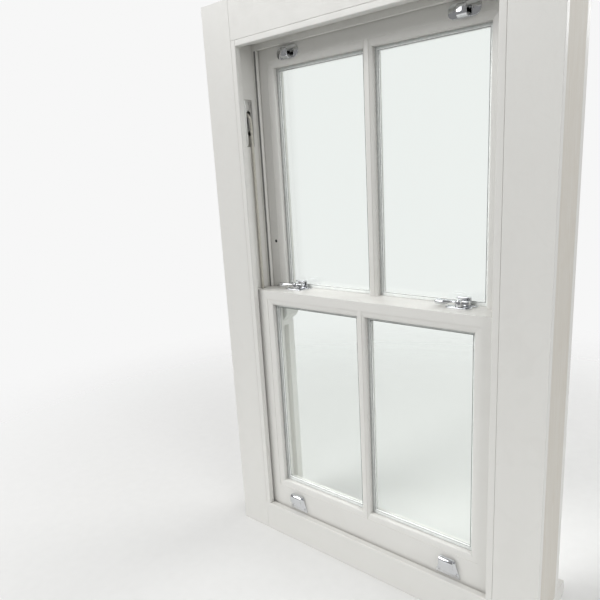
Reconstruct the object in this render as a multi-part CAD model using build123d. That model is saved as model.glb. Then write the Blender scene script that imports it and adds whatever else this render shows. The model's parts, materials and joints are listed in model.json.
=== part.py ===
"""Timber box sash window: two hung sashes with cords, pulleys and weights in a boxed frame.

Millimetres. X runs across the window, +Y from the room to the outside, +Z up.
The origin is the centre of the sill's flat underside, where the frame stands in the wall.
"""
import math
import os

from build123d import *

# Frame
FRAME_WIDTH = 740.0
FRAME_HEIGHT = 1240.0
SILL_DEPTH = 190.0
LINING_WIDTH = 82.0
LINING_THICK = 14.0
OUTER_LINING_THICK = 20.0
BACK_LINING_THICK = 6.0
PULLEY_STILE_THICK = 20.0
HEAD_THICK = 20.0
TONGUE = 6.0
TONGUE_THICK = 8.0
HOUSING = 5.0
BEAD_PROUD = 12.5
BEAD_ROUND = 2.0
PARTING_THICK = 8.0
PARTING_GROOVE = 7.0
BOTTOM_BEAD_TOP = 72.5

# Sill
SILL_BACK_HEIGHT = 55.0
SILL_SLOPE_DEG = 8.0
SILL_NOSE_ROUND = 5.0
DRIP_RADIUS = 4.0
DRIP_FROM_NOSE = 14.0

# Running gaps of the sashes
STAFF_GAP = 3.5
PARTING_GAP = 1.0
OUTER_GAP = 1.5
SIDE_GAP = 1.5
SILL_GAP = 0.5
HEAD_GAP = 0.8
RAIL_GAP = 0.4

# Sashes
SASH_THICK = 44.0
STILE_WIDTH = 47.5
TOP_RAIL = 52.0
BOTTOM_RAIL = 85.5
MEETING_RAIL = 33.0
MEETING_ABOVE_MIDDLE = 2.5
MEETING_SPLAY = 5.5
MOULD_WIDTH = 13.0
MOULD_DEPTH = 3.5
MOULD_QUIRK = 0.9
OVOLO_SHARE = 0.3
BAR_WIDTH = 20.0
BAR_NOSE = 8.0
BAR_MOULD_DEPTH = 5.0
TENON_THICK = 12.0
TENON_LENGTH = 21.0
TENON_SHOULDER = 1.0
HORN_LENGTH = 72.0
HORN_TAPER = 30.0
STOP_HOLE_RADIUS = 3.5
STOP_HOLE_DEPTH = 12.0
STOP_HOLE_RISE = 107.0

# Glazing
GLASS_FROM_FACE = 12.5
GLASS_LEAF = 4.0
GLASS_CAVITY = 6.0
REBATE = 7.0
GLASS_EDGE_GAP = 1.0
SPACER_SHOWN = 7.5
GLAZING_BEAD_CHAMFER = 4.0

# Cords, pulleys and weights
CORD_RADIUS = 3.0
CORD_FROM_STILE = 5.0
PULLEY_RADIUS = 23.5
PULLEY_WIDTH = 9.5
PULLEY_RIM = 2.6
PULLEY_BELOW_SOFFIT = 164.0
PULLEY_PIN_RADIUS = 3.0
PIN_CLEARANCE = 0.05
CORD_CLEARANCE = 0.3
PLATE_HEIGHT = 100.0
PLATE_WIDTH = 24.0
PLATE_THICK = 3.0
PLATE_SLOT_WIDTH = 13.0
PLATE_SCREW_RADIUS = 2.2
CHEEK_THICK = 2.2
MORTICE_GAP = 0.5
CORD_GROOVE_WIDTH = 13.5
CORD_GROOVE_DEPTH = 10.0
KNOT_RADIUS = 4.5
KNOT_INSET = 1.0
LOWER_KNOT_DROP = 152.0
UPPER_KNOT_DROP = 220.0
WEIGHT_RADIUS = 20.0
LOWER_WEIGHT_CLEAR = 19.0
UPPER_WEIGHT_CLEAR = 6.0
WEIGHT_NECK = 22.0
WEIGHT_BELOW_PULLEY = 45.0
HORN_ABOVE_SILL = 12.5
POCKET_BOTTOM = 80.0
POCKET_LENGTH = 400.0
WAGTAIL_THICK = 6.0
WAGTAIL_WIDTH = 44.0
WAGTAIL_ABOVE_SILL = 143.0

# Hook lifts
LIFT_FROM_SIGHT = 44.0
LIFT_SHEET = 2.0
LIFT_PLATE_HEIGHT = 44.0
LIFT_PLATE_WIDE = 54.0
LIFT_HOOK_WIDTH = 30.0
LIFT_REACH = 15.0
LIFT_TONGUE = 21.0
LIFT_CORNER = 5.0
LIFT_BELOW_SIGHT = 20.508

# Winged hook pulls of the upper sash
PULL_FROM_SIGHT = 46.0
PULL_ABOVE_SIGHT = 24.3
PULL_WIDTH = 58.0
PULL_HEIGHT = 26.0
PULL_HOOK_WIDTH = 18.0
PULL_REACH = 14.5
PULL_TONGUE = 22.0
PULL_CORNER = 3.0

# Sash fasteners
FASTENER_FROM_SIGHT = 44.0
PIVOT_FROM_JOINT = 11.0
BASE_LENGTH = 50.0
BASE_WIDTH = 20.0
BASE_THICK = 2.5
BASE_OFFSET = -1.0
HUB_RADIUS = 8.0
HUB_HEIGHT = 11.4
PIVOT_RADIUS = 3.5
PIVOT_CAP_RADIUS = 5.5
PIVOT_CAP_HEIGHT = 1.6
LEVER_GAP = 0.3
LEVER_LENGTH = 49.0
LEVER_WIDTH = 15.0
LEVER_THICK = 3.0
LEVER_LOW = 7.0
CAM_LENGTH = 21.0
CAM_WIDTH = 9.0
CAM_LOW = 5.4
KEEP_WIDTH = 26.0
KEEP_FOOT = 40.0
KEEP_SHEET = 2.8
KEEP_HEIGHT = 17.5
KEEP_DEPTH = 11.5

# Places worked out from the sizes above
HALF = FRAME_WIDTH / 2
ROOM_Y = -SILL_DEPTH / 2
LINING_BACK_Y = ROOM_Y + LINING_THICK
LOWER_FACE_Y = LINING_BACK_Y + STAFF_GAP
LOWER_BACK_Y = LOWER_FACE_Y + SASH_THICK
PARTING_Y = LOWER_BACK_Y + PARTING_GAP
PARTING_BACK_Y = PARTING_Y + PARTING_THICK
UPPER_FACE_Y = PARTING_BACK_Y + PARTING_GAP
UPPER_BACK_Y = UPPER_FACE_Y + SASH_THICK
OUTER_Y = UPPER_BACK_Y + OUTER_GAP
FRAME_BACK_Y = OUTER_Y + OUTER_LINING_THICK
LOWER_TRACK_Y = LOWER_FACE_Y + SASH_THICK / 2
UPPER_TRACK_Y = UPPER_FACE_Y + SASH_THICK / 2
JOINT_Y = (LOWER_BACK_Y + UPPER_FACE_Y) / 2

STILE_FACE_X = HALF - LINING_WIDTH
STILE_BACK_X = STILE_FACE_X + PULLEY_STILE_THICK
BACK_LINING_X = HALF - BACK_LINING_THICK
BEAD_X = STILE_FACE_X - BEAD_PROUD
SOFFIT_Z = FRAME_HEIGHT - LINING_WIDTH
SASH_EDGE_X = STILE_FACE_X - SIDE_GAP
SIGHT_X = SASH_EDGE_X - STILE_WIDTH
SHOULDER_X = SIGHT_X + MOULD_WIDTH
EXTENSION_X = BEAD_X - PARTING_GAP

SLOPE = math.tan(math.radians(SILL_SLOPE_DEG))
LOWER_BOTTOM_Z = SILL_BACK_HEIGHT - STAFF_GAP * SLOPE + SILL_GAP
LOWER_SIGHT_BOTTOM = LOWER_BOTTOM_Z + BOTTOM_RAIL
MEETING_TOP = FRAME_HEIGHT / 2 + MEETING_ABOVE_MIDDLE
LOWER_SIGHT_TOP = MEETING_TOP - MEETING_RAIL
UPPER_TOP_Z = SOFFIT_Z - HEAD_GAP
UPPER_SIGHT_TOP = UPPER_TOP_Z - TOP_RAIL
UPPER_RAIL_BOTTOM = MEETING_TOP - MEETING_RAIL
UPPER_SIGHT_BOTTOM = MEETING_TOP
HORN_BOTTOM = UPPER_RAIL_BOTTOM - HORN_LENGTH

CORD_X = STILE_FACE_X - CORD_FROM_STILE
PULLEY_X = CORD_X + PULLEY_RADIUS
WEIGHT_X = CORD_X + 2 * PULLEY_RADIUS
KNOT_X = CORD_X - KNOT_INSET
LOWER_KNOT_Z = MEETING_TOP - LOWER_KNOT_DROP
UPPER_KNOT_Z = UPPER_TOP_Z - UPPER_KNOT_DROP
PULLEY_CENTRE_Z = SOFFIT_Z - PULLEY_BELOW_SOFFIT
SASH_TRAVEL = HORN_BOTTOM - SILL_BACK_HEIGHT - HORN_ABOVE_SILL
WEIGHT_HIGH_Z = PULLEY_CENTRE_Z - WEIGHT_BELOW_PULLEY
WEIGHT_LOW_Z = WEIGHT_HIGH_Z - SASH_TRAVEL
LOWER_WEIGHT_LENGTH = WEIGHT_LOW_Z - SILL_BACK_HEIGHT - LOWER_WEIGHT_CLEAR
UPPER_WEIGHT_LENGTH = WEIGHT_LOW_Z - SILL_BACK_HEIGHT - UPPER_WEIGHT_CLEAR
PIVOT_Y = JOINT_Y - PIVOT_FROM_JOINT
LIFT_X = SIGHT_X - LIFT_FROM_SIGHT
LIFT_TOP_Z = LOWER_SIGHT_BOTTOM - LIFT_BELOW_SIGHT
PULL_X = SIGHT_X - PULL_FROM_SIGHT
PULL_CENTRE_Z = UPPER_SIGHT_TOP + PULL_ABOVE_SIGHT
FASTENER_X = SIGHT_X - FASTENER_FROM_SIGHT


def block(x0, x1, y0, y1, z0, z1):
    """A box between two corners."""
    size = (x1 - x0, y1 - y0, z1 - z0)
    middle = ((x0 + x1) / 2, (y0 + y1) / 2, (z0 + z1) / 2)
    return Pos(*middle) * Box(*size)


def mirrored(shape):
    """The same shape on the other side of the window's middle."""
    return mirror(shape, Plane.YZ)


def group(*solids):
    """Separate solids kept together in one node."""
    return Compound(children=list(solids))


def upright(section, x, y, z0, z1, flip=False):
    """Extrude a section drawn as (width, depth) upwards; flip turns its width to face the other way."""
    direction = -1 if flip else 1
    face = Plane((x, y, z0)) * (mirror(section, Plane.YZ) if direction < 0 else section)
    return extrude(face, z1 - z0, dir=(0, 0, 1))


def lying(section, x0, x1, y, z, upwards):
    """Extrude a section drawn as (width, depth) along X; its width runs up or down from z."""
    sign = 1 if upwards else -1
    plane = Plane(origin=(x0, y, z), x_dir=(0, 0, sign), z_dir=(-sign, 0, 0))
    return extrude(plane * section, x1 - x0, dir=(1, 0, 0))


def side_profile(points, x0, x1):
    """Extrude a closed outline of (y, z) points along X."""
    outline = Polyline(*[(x0, y, z) for y, z in points], close=True)
    return extrude(make_face(outline), x1 - x0, dir=(1, 0, 0))


def front_profile(points, y0, y1):
    """Extrude a closed outline of (x, z) points along Y."""
    outline = Polyline(*[(x, y0, z) for x, z in points], close=True)
    return extrude(make_face(outline), y1 - y0, dir=(0, 1, 0))


def moulded_section(width):
    """Section of a sash member: square outer edge, ovolo on the room side, glazing rebate outside."""
    shoulder = width - MOULD_WIDTH
    swell = MOULD_QUIRK + OVOLO_SHARE * (MOULD_DEPTH - MOULD_QUIRK)
    curve_middle = (width - MOULD_WIDTH / 2, swell)
    curve = ThreePointArc((shoulder, MOULD_QUIRK), curve_middle, (width, MOULD_DEPTH))
    edges = Polyline(
        (width, MOULD_DEPTH),
        (width, GLASS_FROM_FACE),
        (width - REBATE, GLASS_FROM_FACE),
        (width - REBATE, SASH_THICK),
        (0, SASH_THICK),
        (0, 0),
        (shoulder, 0),
        (shoulder, MOULD_QUIRK),
    )
    return make_face(curve + edges)


def bar_section():
    """Section of the glazing bar, centred on its width: flat nose, two ovolos and a rebate each side."""
    half = BAR_WIDTH / 2
    nose = BAR_NOSE / 2
    web = half - REBATE
    middle_x = (half + nose) / 2
    middle_y = MOULD_QUIRK + OVOLO_SHARE * (BAR_MOULD_DEPTH - MOULD_QUIRK)
    right = ThreePointArc((nose, MOULD_QUIRK), (middle_x, middle_y), (half, BAR_MOULD_DEPTH))
    left = ThreePointArc((-nose, MOULD_QUIRK), (-middle_x, middle_y), (-half, BAR_MOULD_DEPTH))
    nose_line = Polyline((-nose, MOULD_QUIRK), (-nose, 0), (nose, 0), (nose, MOULD_QUIRK))
    back = Polyline(
        (half, BAR_MOULD_DEPTH),
        (half, GLASS_FROM_FACE),
        (web, GLASS_FROM_FACE),
        (web, SASH_THICK),
        (-web, SASH_THICK),
        (-web, GLASS_FROM_FACE),
        (-half, GLASS_FROM_FACE),
        (-half, BAR_MOULD_DEPTH),
    )
    return make_face(nose_line + right + back + left)


def sill_outline():
    """Side view of the sill: flat underside, weathered top and rounded nose."""
    front = LINING_BACK_Y
    nose = ROOM_Y + SILL_DEPTH
    nose_top = SILL_BACK_HEIGHT - (nose - front) * SLOPE
    return [(front, 0), (nose, 0), (nose, nose_top), (front, SILL_BACK_HEIGHT)]


def make_sill(pulley_stiles):
    """The hardwood sill, housed out for the feet of the pulley stiles, with a drip groove below."""
    sill = side_profile(sill_outline(), -HALF, HALF)
    nose_edges = [e for e in sill.edges().filter_by(Axis.X) if e.center().Y > ROOM_Y + SILL_DEPTH - 0.01]
    sill = fillet(nose_edges, SILL_NOSE_ROUND)
    drip_y = ROOM_Y + SILL_DEPTH - DRIP_FROM_NOSE
    groove = Pos(0, drip_y, 0) * Rot(0, 90, 0) * Cylinder(DRIP_RADIUS, FRAME_WIDTH + 2)
    return sill - groove - pulley_stiles


def above_sill(y0, y1):
    """A wedge over the sill's weathered top that members standing on it are cut with."""
    points = []
    for y in (y0 - 1, y1 + 1):
        points.append((y, SILL_BACK_HEIGHT - (y - LINING_BACK_Y) * SLOPE))
    points += [(y1 + 1, -1), (y0 - 1, -1)]
    return side_profile(points, -HALF - 1, HALF + 1)


def make_pulley_stile():
    """Right-hand pulley stile: tongued edges, parting bead groove, pulley mortices and pocket."""
    foot = SILL_BACK_HEIGHT - (FRAME_BACK_Y - LINING_BACK_Y) * SLOPE - HOUSING
    stile = block(STILE_FACE_X, STILE_BACK_X, LINING_BACK_Y, OUTER_Y, foot, SOFFIT_Z + HOUSING)
    tongue_x = (STILE_BACK_X - TONGUE_THICK, STILE_BACK_X)
    stile += block(*tongue_x, LINING_BACK_Y - TONGUE, LINING_BACK_Y, SILL_BACK_HEIGHT, SOFFIT_Z)
    stile += block(*tongue_x, OUTER_Y, OUTER_Y + TONGUE, SILL_BACK_HEIGHT, SOFFIT_Z)
    groove_x = (STILE_FACE_X, STILE_FACE_X + PARTING_GROOVE)
    stile -= block(*groove_x, PARTING_Y, PARTING_BACK_Y, 0, FRAME_HEIGHT)
    for y in (LOWER_TRACK_Y, UPPER_TRACK_Y):
        stile -= pulley_mortice(y)
    stile -= pocket_outline(0)
    return stile


def pulley_mortice(y):
    """The recess for a pulley's plate and the slot that its casing passes through."""
    half_height = PLATE_HEIGHT / 2
    recess = block(
        STILE_FACE_X, STILE_FACE_X + PLATE_THICK, y - PLATE_WIDTH / 2, y + PLATE_WIDTH / 2,
        PULLEY_CENTRE_Z - half_height, PULLEY_CENTRE_Z + half_height,
    )
    casing_half = PLATE_SLOT_WIDTH / 2 + CHEEK_THICK + MORTICE_GAP
    opening_half = PULLEY_RADIUS + CORD_RADIUS + 3.0
    opening = block(
        STILE_FACE_X, STILE_BACK_X, y - casing_half, y + casing_half,
        PULLEY_CENTRE_Z - opening_half, PULLEY_CENTRE_Z + opening_half,
    )
    return recess + opening


def pocket_outline(shrink):
    """The pocket through which a weight is reached: bevelled ends, in the lower sash's track."""
    top = POCKET_BOTTOM + POCKET_LENGTH
    bevel = PULLEY_STILE_THICK / 2
    points = [
        (STILE_FACE_X, POCKET_BOTTOM),
        (STILE_BACK_X, POCKET_BOTTOM - bevel),
        (STILE_BACK_X, top - bevel - shrink),
        (STILE_FACE_X, top - shrink),
    ]
    return front_profile(points, LINING_BACK_Y + STAFF_GAP + shrink, PARTING_Y - shrink)


def make_inner_lining():
    """Right-hand inner lining: a flat board, full height, grooved behind for the pulley stile."""
    board = block(STILE_FACE_X, HALF, ROOM_Y, LINING_BACK_Y, 0, FRAME_HEIGHT)
    return board - lining_groove(LINING_BACK_Y - TONGUE, LINING_BACK_Y)


def lining_groove(y0, y1):
    """The groove that takes a pulley stile's tongue."""
    return block(STILE_BACK_X - TONGUE_THICK, STILE_BACK_X, y0, y1, SILL_BACK_HEIGHT, SOFFIT_Z)


def make_outer_lining():
    """Right-hand outer lining: it stands proud of the pulley stile to hold the upper sash in."""
    board = block(BEAD_X, HALF, OUTER_Y, FRAME_BACK_Y, 0, FRAME_HEIGHT)
    board -= lining_groove(OUTER_Y, OUTER_Y + TONGUE)
    return board - above_sill(OUTER_Y, FRAME_BACK_Y)


def make_back_lining():
    """Right-hand back lining: the thin board that closes the weight box."""
    board = block(BACK_LINING_X, HALF, LINING_BACK_Y, OUTER_Y, 0, FRAME_HEIGHT)
    return board - above_sill(LINING_BACK_Y, OUTER_Y)


def make_head(pulley_stiles):
    """The head: a board over both pulley stiles, grooved for the parting bead."""
    head = block(
        -BACK_LINING_X, BACK_LINING_X, LINING_BACK_Y, OUTER_Y, SOFFIT_Z, SOFFIT_Z + HEAD_THICK
    )
    reach = STILE_FACE_X + PARTING_GROOVE
    head -= block(-reach, reach, PARTING_Y, PARTING_BACK_Y, SOFFIT_Z, SOFFIT_Z + PARTING_GROOVE)
    return head - pulley_stiles


def make_parting_bead():
    """Right-hand parting bead, let into its groove and standing between the two sashes."""
    bead = block(BEAD_X, STILE_FACE_X + PARTING_GROOVE, PARTING_Y, PARTING_BACK_Y, 0, SOFFIT_Z)
    bead -= above_sill(PARTING_Y, PARTING_BACK_Y)
    rounded = bead.edges().filter_by(Axis.Z).group_by(Axis.X)[0]
    return fillet(rounded, BEAD_ROUND)


def make_parting_bead_head():
    """The parting bead across the head."""
    bead = block(
        -BEAD_X, BEAD_X, PARTING_Y, PARTING_BACK_Y, SOFFIT_Z - BEAD_PROUD, SOFFIT_Z + PARTING_GROOVE
    )
    rounded = bead.edges().filter_by(Axis.X).group_by(Axis.Z)[0]
    return fillet(rounded, BEAD_ROUND)


def make_staff_bead():
    """Right-hand staff bead, planted against the lining's edge, with its room-side corner rounded."""
    bead = block(BEAD_X, STILE_FACE_X, ROOM_Y, LINING_BACK_Y, BOTTOM_BEAD_TOP, SOFFIT_Z)
    corner = [e for e in bead.edges().filter_by(Axis.Z)
              if e.center().X < BEAD_X + 0.01 and e.center().Y < ROOM_Y + 0.01]
    return fillet(corner, BEAD_ROUND)


def make_staff_bead_head():
    """The staff bead across the head, between the two side beads."""
    bead = block(-BEAD_X, BEAD_X, ROOM_Y, LINING_BACK_Y, SOFFIT_Z - BEAD_PROUD, SOFFIT_Z)
    corner = [e for e in bead.edges().filter_by(Axis.X)
              if e.center().Z < SOFFIT_Z - BEAD_PROUD + 0.01 and e.center().Y < ROOM_Y + 0.01]
    return fillet(corner, BEAD_ROUND)


def make_bottom_bead():
    """The deep bottom board that stands in front of the lower sash's bottom rail."""
    board = block(-STILE_FACE_X, STILE_FACE_X, ROOM_Y, LINING_BACK_Y, 0, BOTTOM_BEAD_TOP)
    corner = [e for e in board.edges().filter_by(Axis.X)
              if e.center().Z > BOTTOM_BEAD_TOP - 0.01 and e.center().Y < ROOM_Y + 0.01]
    return fillet(corner, BEAD_ROUND)


def make_pocket_piece():
    """The loose piece of the pulley stile that closes the pocket."""
    return pocket_outline(0.3)


def make_wagtail():
    """The thin slip that hangs from the head between the two weights of one box."""
    middle = (STILE_BACK_X + BACK_LINING_X) / 2
    y = (PARTING_Y + PARTING_BACK_Y) / 2
    return block(
        middle - WAGTAIL_WIDTH / 2, middle + WAGTAIL_WIDTH / 2, y - WAGTAIL_THICK / 2,
        y + WAGTAIL_THICK / 2, SILL_BACK_HEIGHT + WAGTAIL_ABOVE_SILL, SOFFIT_Z,
    )


def make_pulley_case(y):
    """Right-hand pulley case: a screwed face plate, two cheeks behind it and the axle across them."""
    plate_x = STILE_FACE_X + PLATE_THICK
    plate = block(
        STILE_FACE_X, plate_x, y - PLATE_WIDTH / 2, y + PLATE_WIDTH / 2,
        PULLEY_CENTRE_Z - PLATE_HEIGHT / 2, PULLEY_CENTRE_Z + PLATE_HEIGHT / 2,
    )
    reach = PULLEY_RADIUS + CORD_RADIUS
    cheek_shape = Circle(reach) + Pos(-(PULLEY_X - plate_x) / 2, 0) * Rectangle(PULLEY_X - plate_x, 2 * reach)
    for side in (-1, 1):
        cheek_y = y + side * (PLATE_SLOT_WIDTH + CHEEK_THICK) / 2
        cheek_plane = Plane(origin=(PULLEY_X, cheek_y, PULLEY_CENTRE_Z), x_dir=(1, 0, 0), z_dir=(0, -1, 0))
        plate += extrude(cheek_plane * cheek_shape, CHEEK_THICK / 2, both=True)
    plate -= block(
        STILE_FACE_X - reach, STILE_FACE_X, y - PLATE_WIDTH / 2, y + PLATE_WIDTH / 2,
        PULLEY_CENTRE_Z - PLATE_HEIGHT / 2, PULLEY_CENTRE_Z + PLATE_HEIGHT / 2,
    )
    axle_length = PLATE_SLOT_WIDTH + 2 * CHEEK_THICK
    plate += Pos(PULLEY_X, y, PULLEY_CENTRE_Z) * Rot(90, 0, 0) * Cylinder(PULLEY_PIN_RADIUS, axle_length)
    slot_plane = Plane(origin=(STILE_FACE_X, y, PULLEY_CENTRE_Z), x_dir=(0, 0, 1), z_dir=(1, 0, 0))
    slot = SlotOverall(2 * reach, PLATE_SLOT_WIDTH)
    plate -= extrude(slot_plane * slot, PLATE_THICK, dir=(1, 0, 0))
    screw_rise = PLATE_HEIGHT / 2 - 8
    for side in (-1, 1):
        hole = Pos(STILE_FACE_X + PLATE_THICK / 2, y, PULLEY_CENTRE_Z + side * screw_rise) * Rot(0, 90, 0)
        plate -= hole * Cylinder(PLATE_SCREW_RADIUS, PLATE_THICK + 1)
    return plate


def make_pulley_wheel(y):
    """Right-hand pulley wheel: a round groove for the cord between two rims, on a plain bore."""
    groove = CORD_RADIUS + CORD_CLEARANCE
    rim = PULLEY_RADIUS + PULLEY_RIM - CORD_RADIUS
    half = PULLEY_WIDTH / 2
    disc = Cylinder(rim, PULLEY_WIDTH)
    disc -= Cylinder(PULLEY_PIN_RADIUS + PIN_CLEARANCE, PULLEY_WIDTH)
    disc -= Torus(PULLEY_RADIUS, groove)
    for side in (-1, 1):
        disc -= Pos(0, 0, side * half) * (Cylinder(rim - 6, 3) - Cylinder(PULLEY_PIN_RADIUS + 4, 3))
    return Pos(PULLEY_X, y, PULLEY_CENTRE_Z) * Rot(90, 0, 0) * disc


def make_weight(y, top, length):
    """Right-hand sash weight: a round iron bar with a domed neck, bored for the cord and its knot."""
    body = Pos(WEIGHT_X, y, top - WEIGHT_NECK - (length - WEIGHT_NECK) / 2) * Cylinder(
        WEIGHT_RADIUS, length - WEIGHT_NECK
    )
    neck = Pos(WEIGHT_X, y, top - WEIGHT_NECK / 2) * Cone(WEIGHT_RADIUS, KNOT_RADIUS + 5, WEIGHT_NECK)
    bore = WEIGHT_NECK + KNOT_RADIUS
    cord_hole = Pos(WEIGHT_X, y, top - bore / 2) * Cylinder(CORD_RADIUS + CORD_CLEARANCE, bore)
    knot_hole = Pos(WEIGHT_X, y, top - WEIGHT_NECK - KNOT_RADIUS) * Sphere(KNOT_RADIUS + CORD_CLEARANCE)
    return body + neck - cord_hole - knot_hole


def make_cord_turn(y):
    """The half turn of a cord over its pulley wheel, on the right."""
    ring = Torus(PULLEY_RADIUS, CORD_RADIUS)
    upper_half = Pos(0, PULLEY_RADIUS, 0) * Box(4 * PULLEY_RADIUS, 2 * PULLEY_RADIUS, 4 * CORD_RADIUS)
    turn = Rot(90, 0, 0) * (ring & upper_half)
    return Pos(PULLEY_X, y, PULLEY_CENTRE_Z) * turn


def make_cord_run(x, y, end_z, knot_x):
    """A straight stretch of cord from its pulley down to the knot at its end, on the right."""
    length = PULLEY_CENTRE_Z - end_z
    run = Pos(x, y, end_z + length / 2) * Cylinder(CORD_RADIUS, length)
    return run + Pos(knot_x, y, end_z) * Sphere(KNOT_RADIUS)


def cord_groove(y, z_top, knot_z):
    """The groove down a right-hand stile's outer edge, ending in the hole for the cord's knot."""
    bottom_x = SASH_EDGE_X - CORD_GROOVE_DEPTH
    groove = block(
        bottom_x, SASH_EDGE_X, y - CORD_GROOVE_WIDTH / 2, y + CORD_GROOVE_WIDTH / 2, knot_z, z_top
    )
    end = Pos(bottom_x + CORD_GROOVE_DEPTH / 2, y, knot_z) * Rot(0, 90, 0)
    return groove + end * Cylinder(CORD_GROOVE_WIDTH / 2, CORD_GROOVE_DEPTH)


def stile_tenon_holes(rails):
    """The mortices in a right-hand stile, one for each (low, high, face) of its rails."""
    holes = None
    for low, high, face in rails:
        hole = rail_tenon(low, high, face)
        holes = hole if holes is None else holes + hole
    return holes


def rail_tenon(low, high, face):
    """A right-hand tenon of a rail, in the middle of the sash's thickness."""
    middle = face + SASH_THICK / 2
    margin = REBATE + TENON_SHOULDER
    return block(
        SIGHT_X, SHOULDER_X + TENON_LENGTH, middle - TENON_THICK / 2,
        middle + TENON_THICK / 2, low + margin, high - margin,
    )


def lower_rails():
    """The lower sash's rails as (low, high, face)."""
    return [
        (LOWER_BOTTOM_Z, LOWER_SIGHT_BOTTOM, LOWER_FACE_Y),
        (LOWER_SIGHT_TOP, MEETING_TOP, LOWER_FACE_Y),
    ]


def upper_rails():
    """The upper sash's rails as (low, high, face)."""
    return [
        (UPPER_RAIL_BOTTOM, UPPER_SIGHT_BOTTOM, UPPER_FACE_Y),
        (UPPER_SIGHT_TOP, UPPER_TOP_Z, UPPER_FACE_Y),
    ]


def sill_bevel_cut():
    """What is cut from the lower sash so that its foot follows the sill's slope."""
    points = []
    for y in (LOWER_FACE_Y - 1, LOWER_BACK_Y + 1):
        points.append((y, LOWER_BOTTOM_Z - (y - LOWER_FACE_Y) * SLOPE))
    points += [(LOWER_BACK_Y + 1, -1), (LOWER_FACE_Y - 1, -1)]
    return side_profile(points, -HALF, HALF)


def make_lower_stile():
    """Right-hand stile of the lower sash."""
    drop = SASH_THICK * SLOPE
    stile = upright(
        moulded_section(STILE_WIDTH), SASH_EDGE_X, LOWER_FACE_Y, LOWER_BOTTOM_Z - drop, MEETING_TOP,
        flip=True,
    )
    stile -= sill_bevel_cut()
    stile -= cord_groove(LOWER_TRACK_Y, MEETING_TOP, LOWER_KNOT_Z)
    return stile - stile_tenon_holes(lower_rails())


def horn_cut():
    """What is cut from below an upper stile to leave its horn with a curved inner edge."""
    low = HORN_BOTTOM - 1
    curve_top = UPPER_RAIL_BOTTOM - HORN_LENGTH * 0.42
    tip_x = SIGHT_X + HORN_TAPER
    middle = ((SIGHT_X + tip_x) / 2, (curve_top + HORN_BOTTOM) / 2)
    hollow = RadiusArc((SIGHT_X, curve_top), middle, -HORN_TAPER * 0.9)
    swell = RadiusArc(middle, (tip_x, HORN_BOTTOM), HORN_TAPER * 0.9)
    edge = Polyline((tip_x, HORN_BOTTOM), (tip_x, low), (SIGHT_X - 1, low), (SIGHT_X - 1, curve_top),
                    (SIGHT_X, curve_top))
    plane = Plane(origin=(0, UPPER_FACE_Y - 1, 0), x_dir=(1, 0, 0), z_dir=(0, -1, 0))
    return extrude(plane * make_face(hollow + swell + edge), SASH_THICK + 2, dir=(0, 1, 0))


def make_upper_stile():
    """Right-hand stile of the upper sash, with its horn below the meeting rail and a stop hole."""
    stile = upright(
        moulded_section(STILE_WIDTH), SASH_EDGE_X, UPPER_FACE_Y, UPPER_RAIL_BOTTOM, UPPER_TOP_Z, flip=True
    )
    stile += block(
        SIGHT_X, SASH_EDGE_X, UPPER_FACE_Y, UPPER_BACK_Y, HORN_BOTTOM, UPPER_RAIL_BOTTOM
    )
    stile -= horn_cut()
    stile -= cord_groove(UPPER_TRACK_Y, UPPER_TOP_Z, UPPER_KNOT_Z)
    stop_x = (SASH_EDGE_X + SHOULDER_X) / 2 - (SASH_EDGE_X - SHOULDER_X) / 4
    hole = Pos(stop_x, UPPER_FACE_Y + STOP_HOLE_DEPTH / 2, MEETING_TOP + STOP_HOLE_RISE) * Rot(90, 0, 0)
    stile -= hole * Cylinder(STOP_HOLE_RADIUS, STOP_HOLE_DEPTH)
    return stile - stile_tenon_holes(upper_rails())


def make_rail(edge_z, height, face, upwards, stiles):
    """A rail scribed over the mouldings of both stiles, with a tenon at each end."""
    rail = lying(moulded_section(height), -SHOULDER_X, SHOULDER_X, face, edge_z, upwards)
    low, high = (edge_z, edge_z + height) if upwards else (edge_z - height, edge_z)
    tenon = rail_tenon(low, high, face)
    return rail - stiles + tenon + mirrored(tenon)


def lower_meeting_extension():
    """The splayed back of the lower meeting rail, which fills the gap between the sashes."""
    half_splay = MEETING_SPLAY / 2
    points = [
        (LOWER_BACK_Y, MEETING_TOP),
        (LOWER_BACK_Y, LOWER_SIGHT_TOP),
        (JOINT_Y - RAIL_GAP / 2 - half_splay, LOWER_SIGHT_TOP),
        (JOINT_Y - RAIL_GAP / 2 + half_splay, MEETING_TOP),
    ]
    return side_profile(points, -EXTENSION_X, EXTENSION_X)


def upper_meeting_extension():
    """The splayed front of the upper meeting rail."""
    half_splay = MEETING_SPLAY / 2
    points = [
        (UPPER_FACE_Y, MEETING_TOP),
        (UPPER_FACE_Y, UPPER_RAIL_BOTTOM),
        (JOINT_Y + RAIL_GAP / 2 - half_splay, UPPER_RAIL_BOTTOM),
        (JOINT_Y + RAIL_GAP / 2 + half_splay, MEETING_TOP),
    ]
    return side_profile(points, -EXTENSION_X, EXTENSION_X)


def meeting_rail_fill(face):
    """The front of the upper meeting rail over its own moulding, where the lower rail bears on it."""
    return block(
        -SHOULDER_X, SHOULDER_X, face, face + GLASS_FROM_FACE, UPPER_RAIL_BOTTOM, UPPER_SIGHT_BOTTOM
    )


def make_bar(low, high, face, rails):
    """A glazing bar whose ends are scribed over the rails' mouldings."""
    bar = upright(bar_section(), 0, face, low - MOULD_WIDTH, high + MOULD_WIDTH)
    for rail in rails:
        bar -= rail
    return max(bar.solids(), key=lambda solid: solid.volume)


def pane_spans():
    """The two pane openings of a sash as (left, right) sight lines."""
    half_bar = BAR_WIDTH / 2
    return [(-SIGHT_X, -half_bar), (half_bar, SIGHT_X)]


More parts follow.
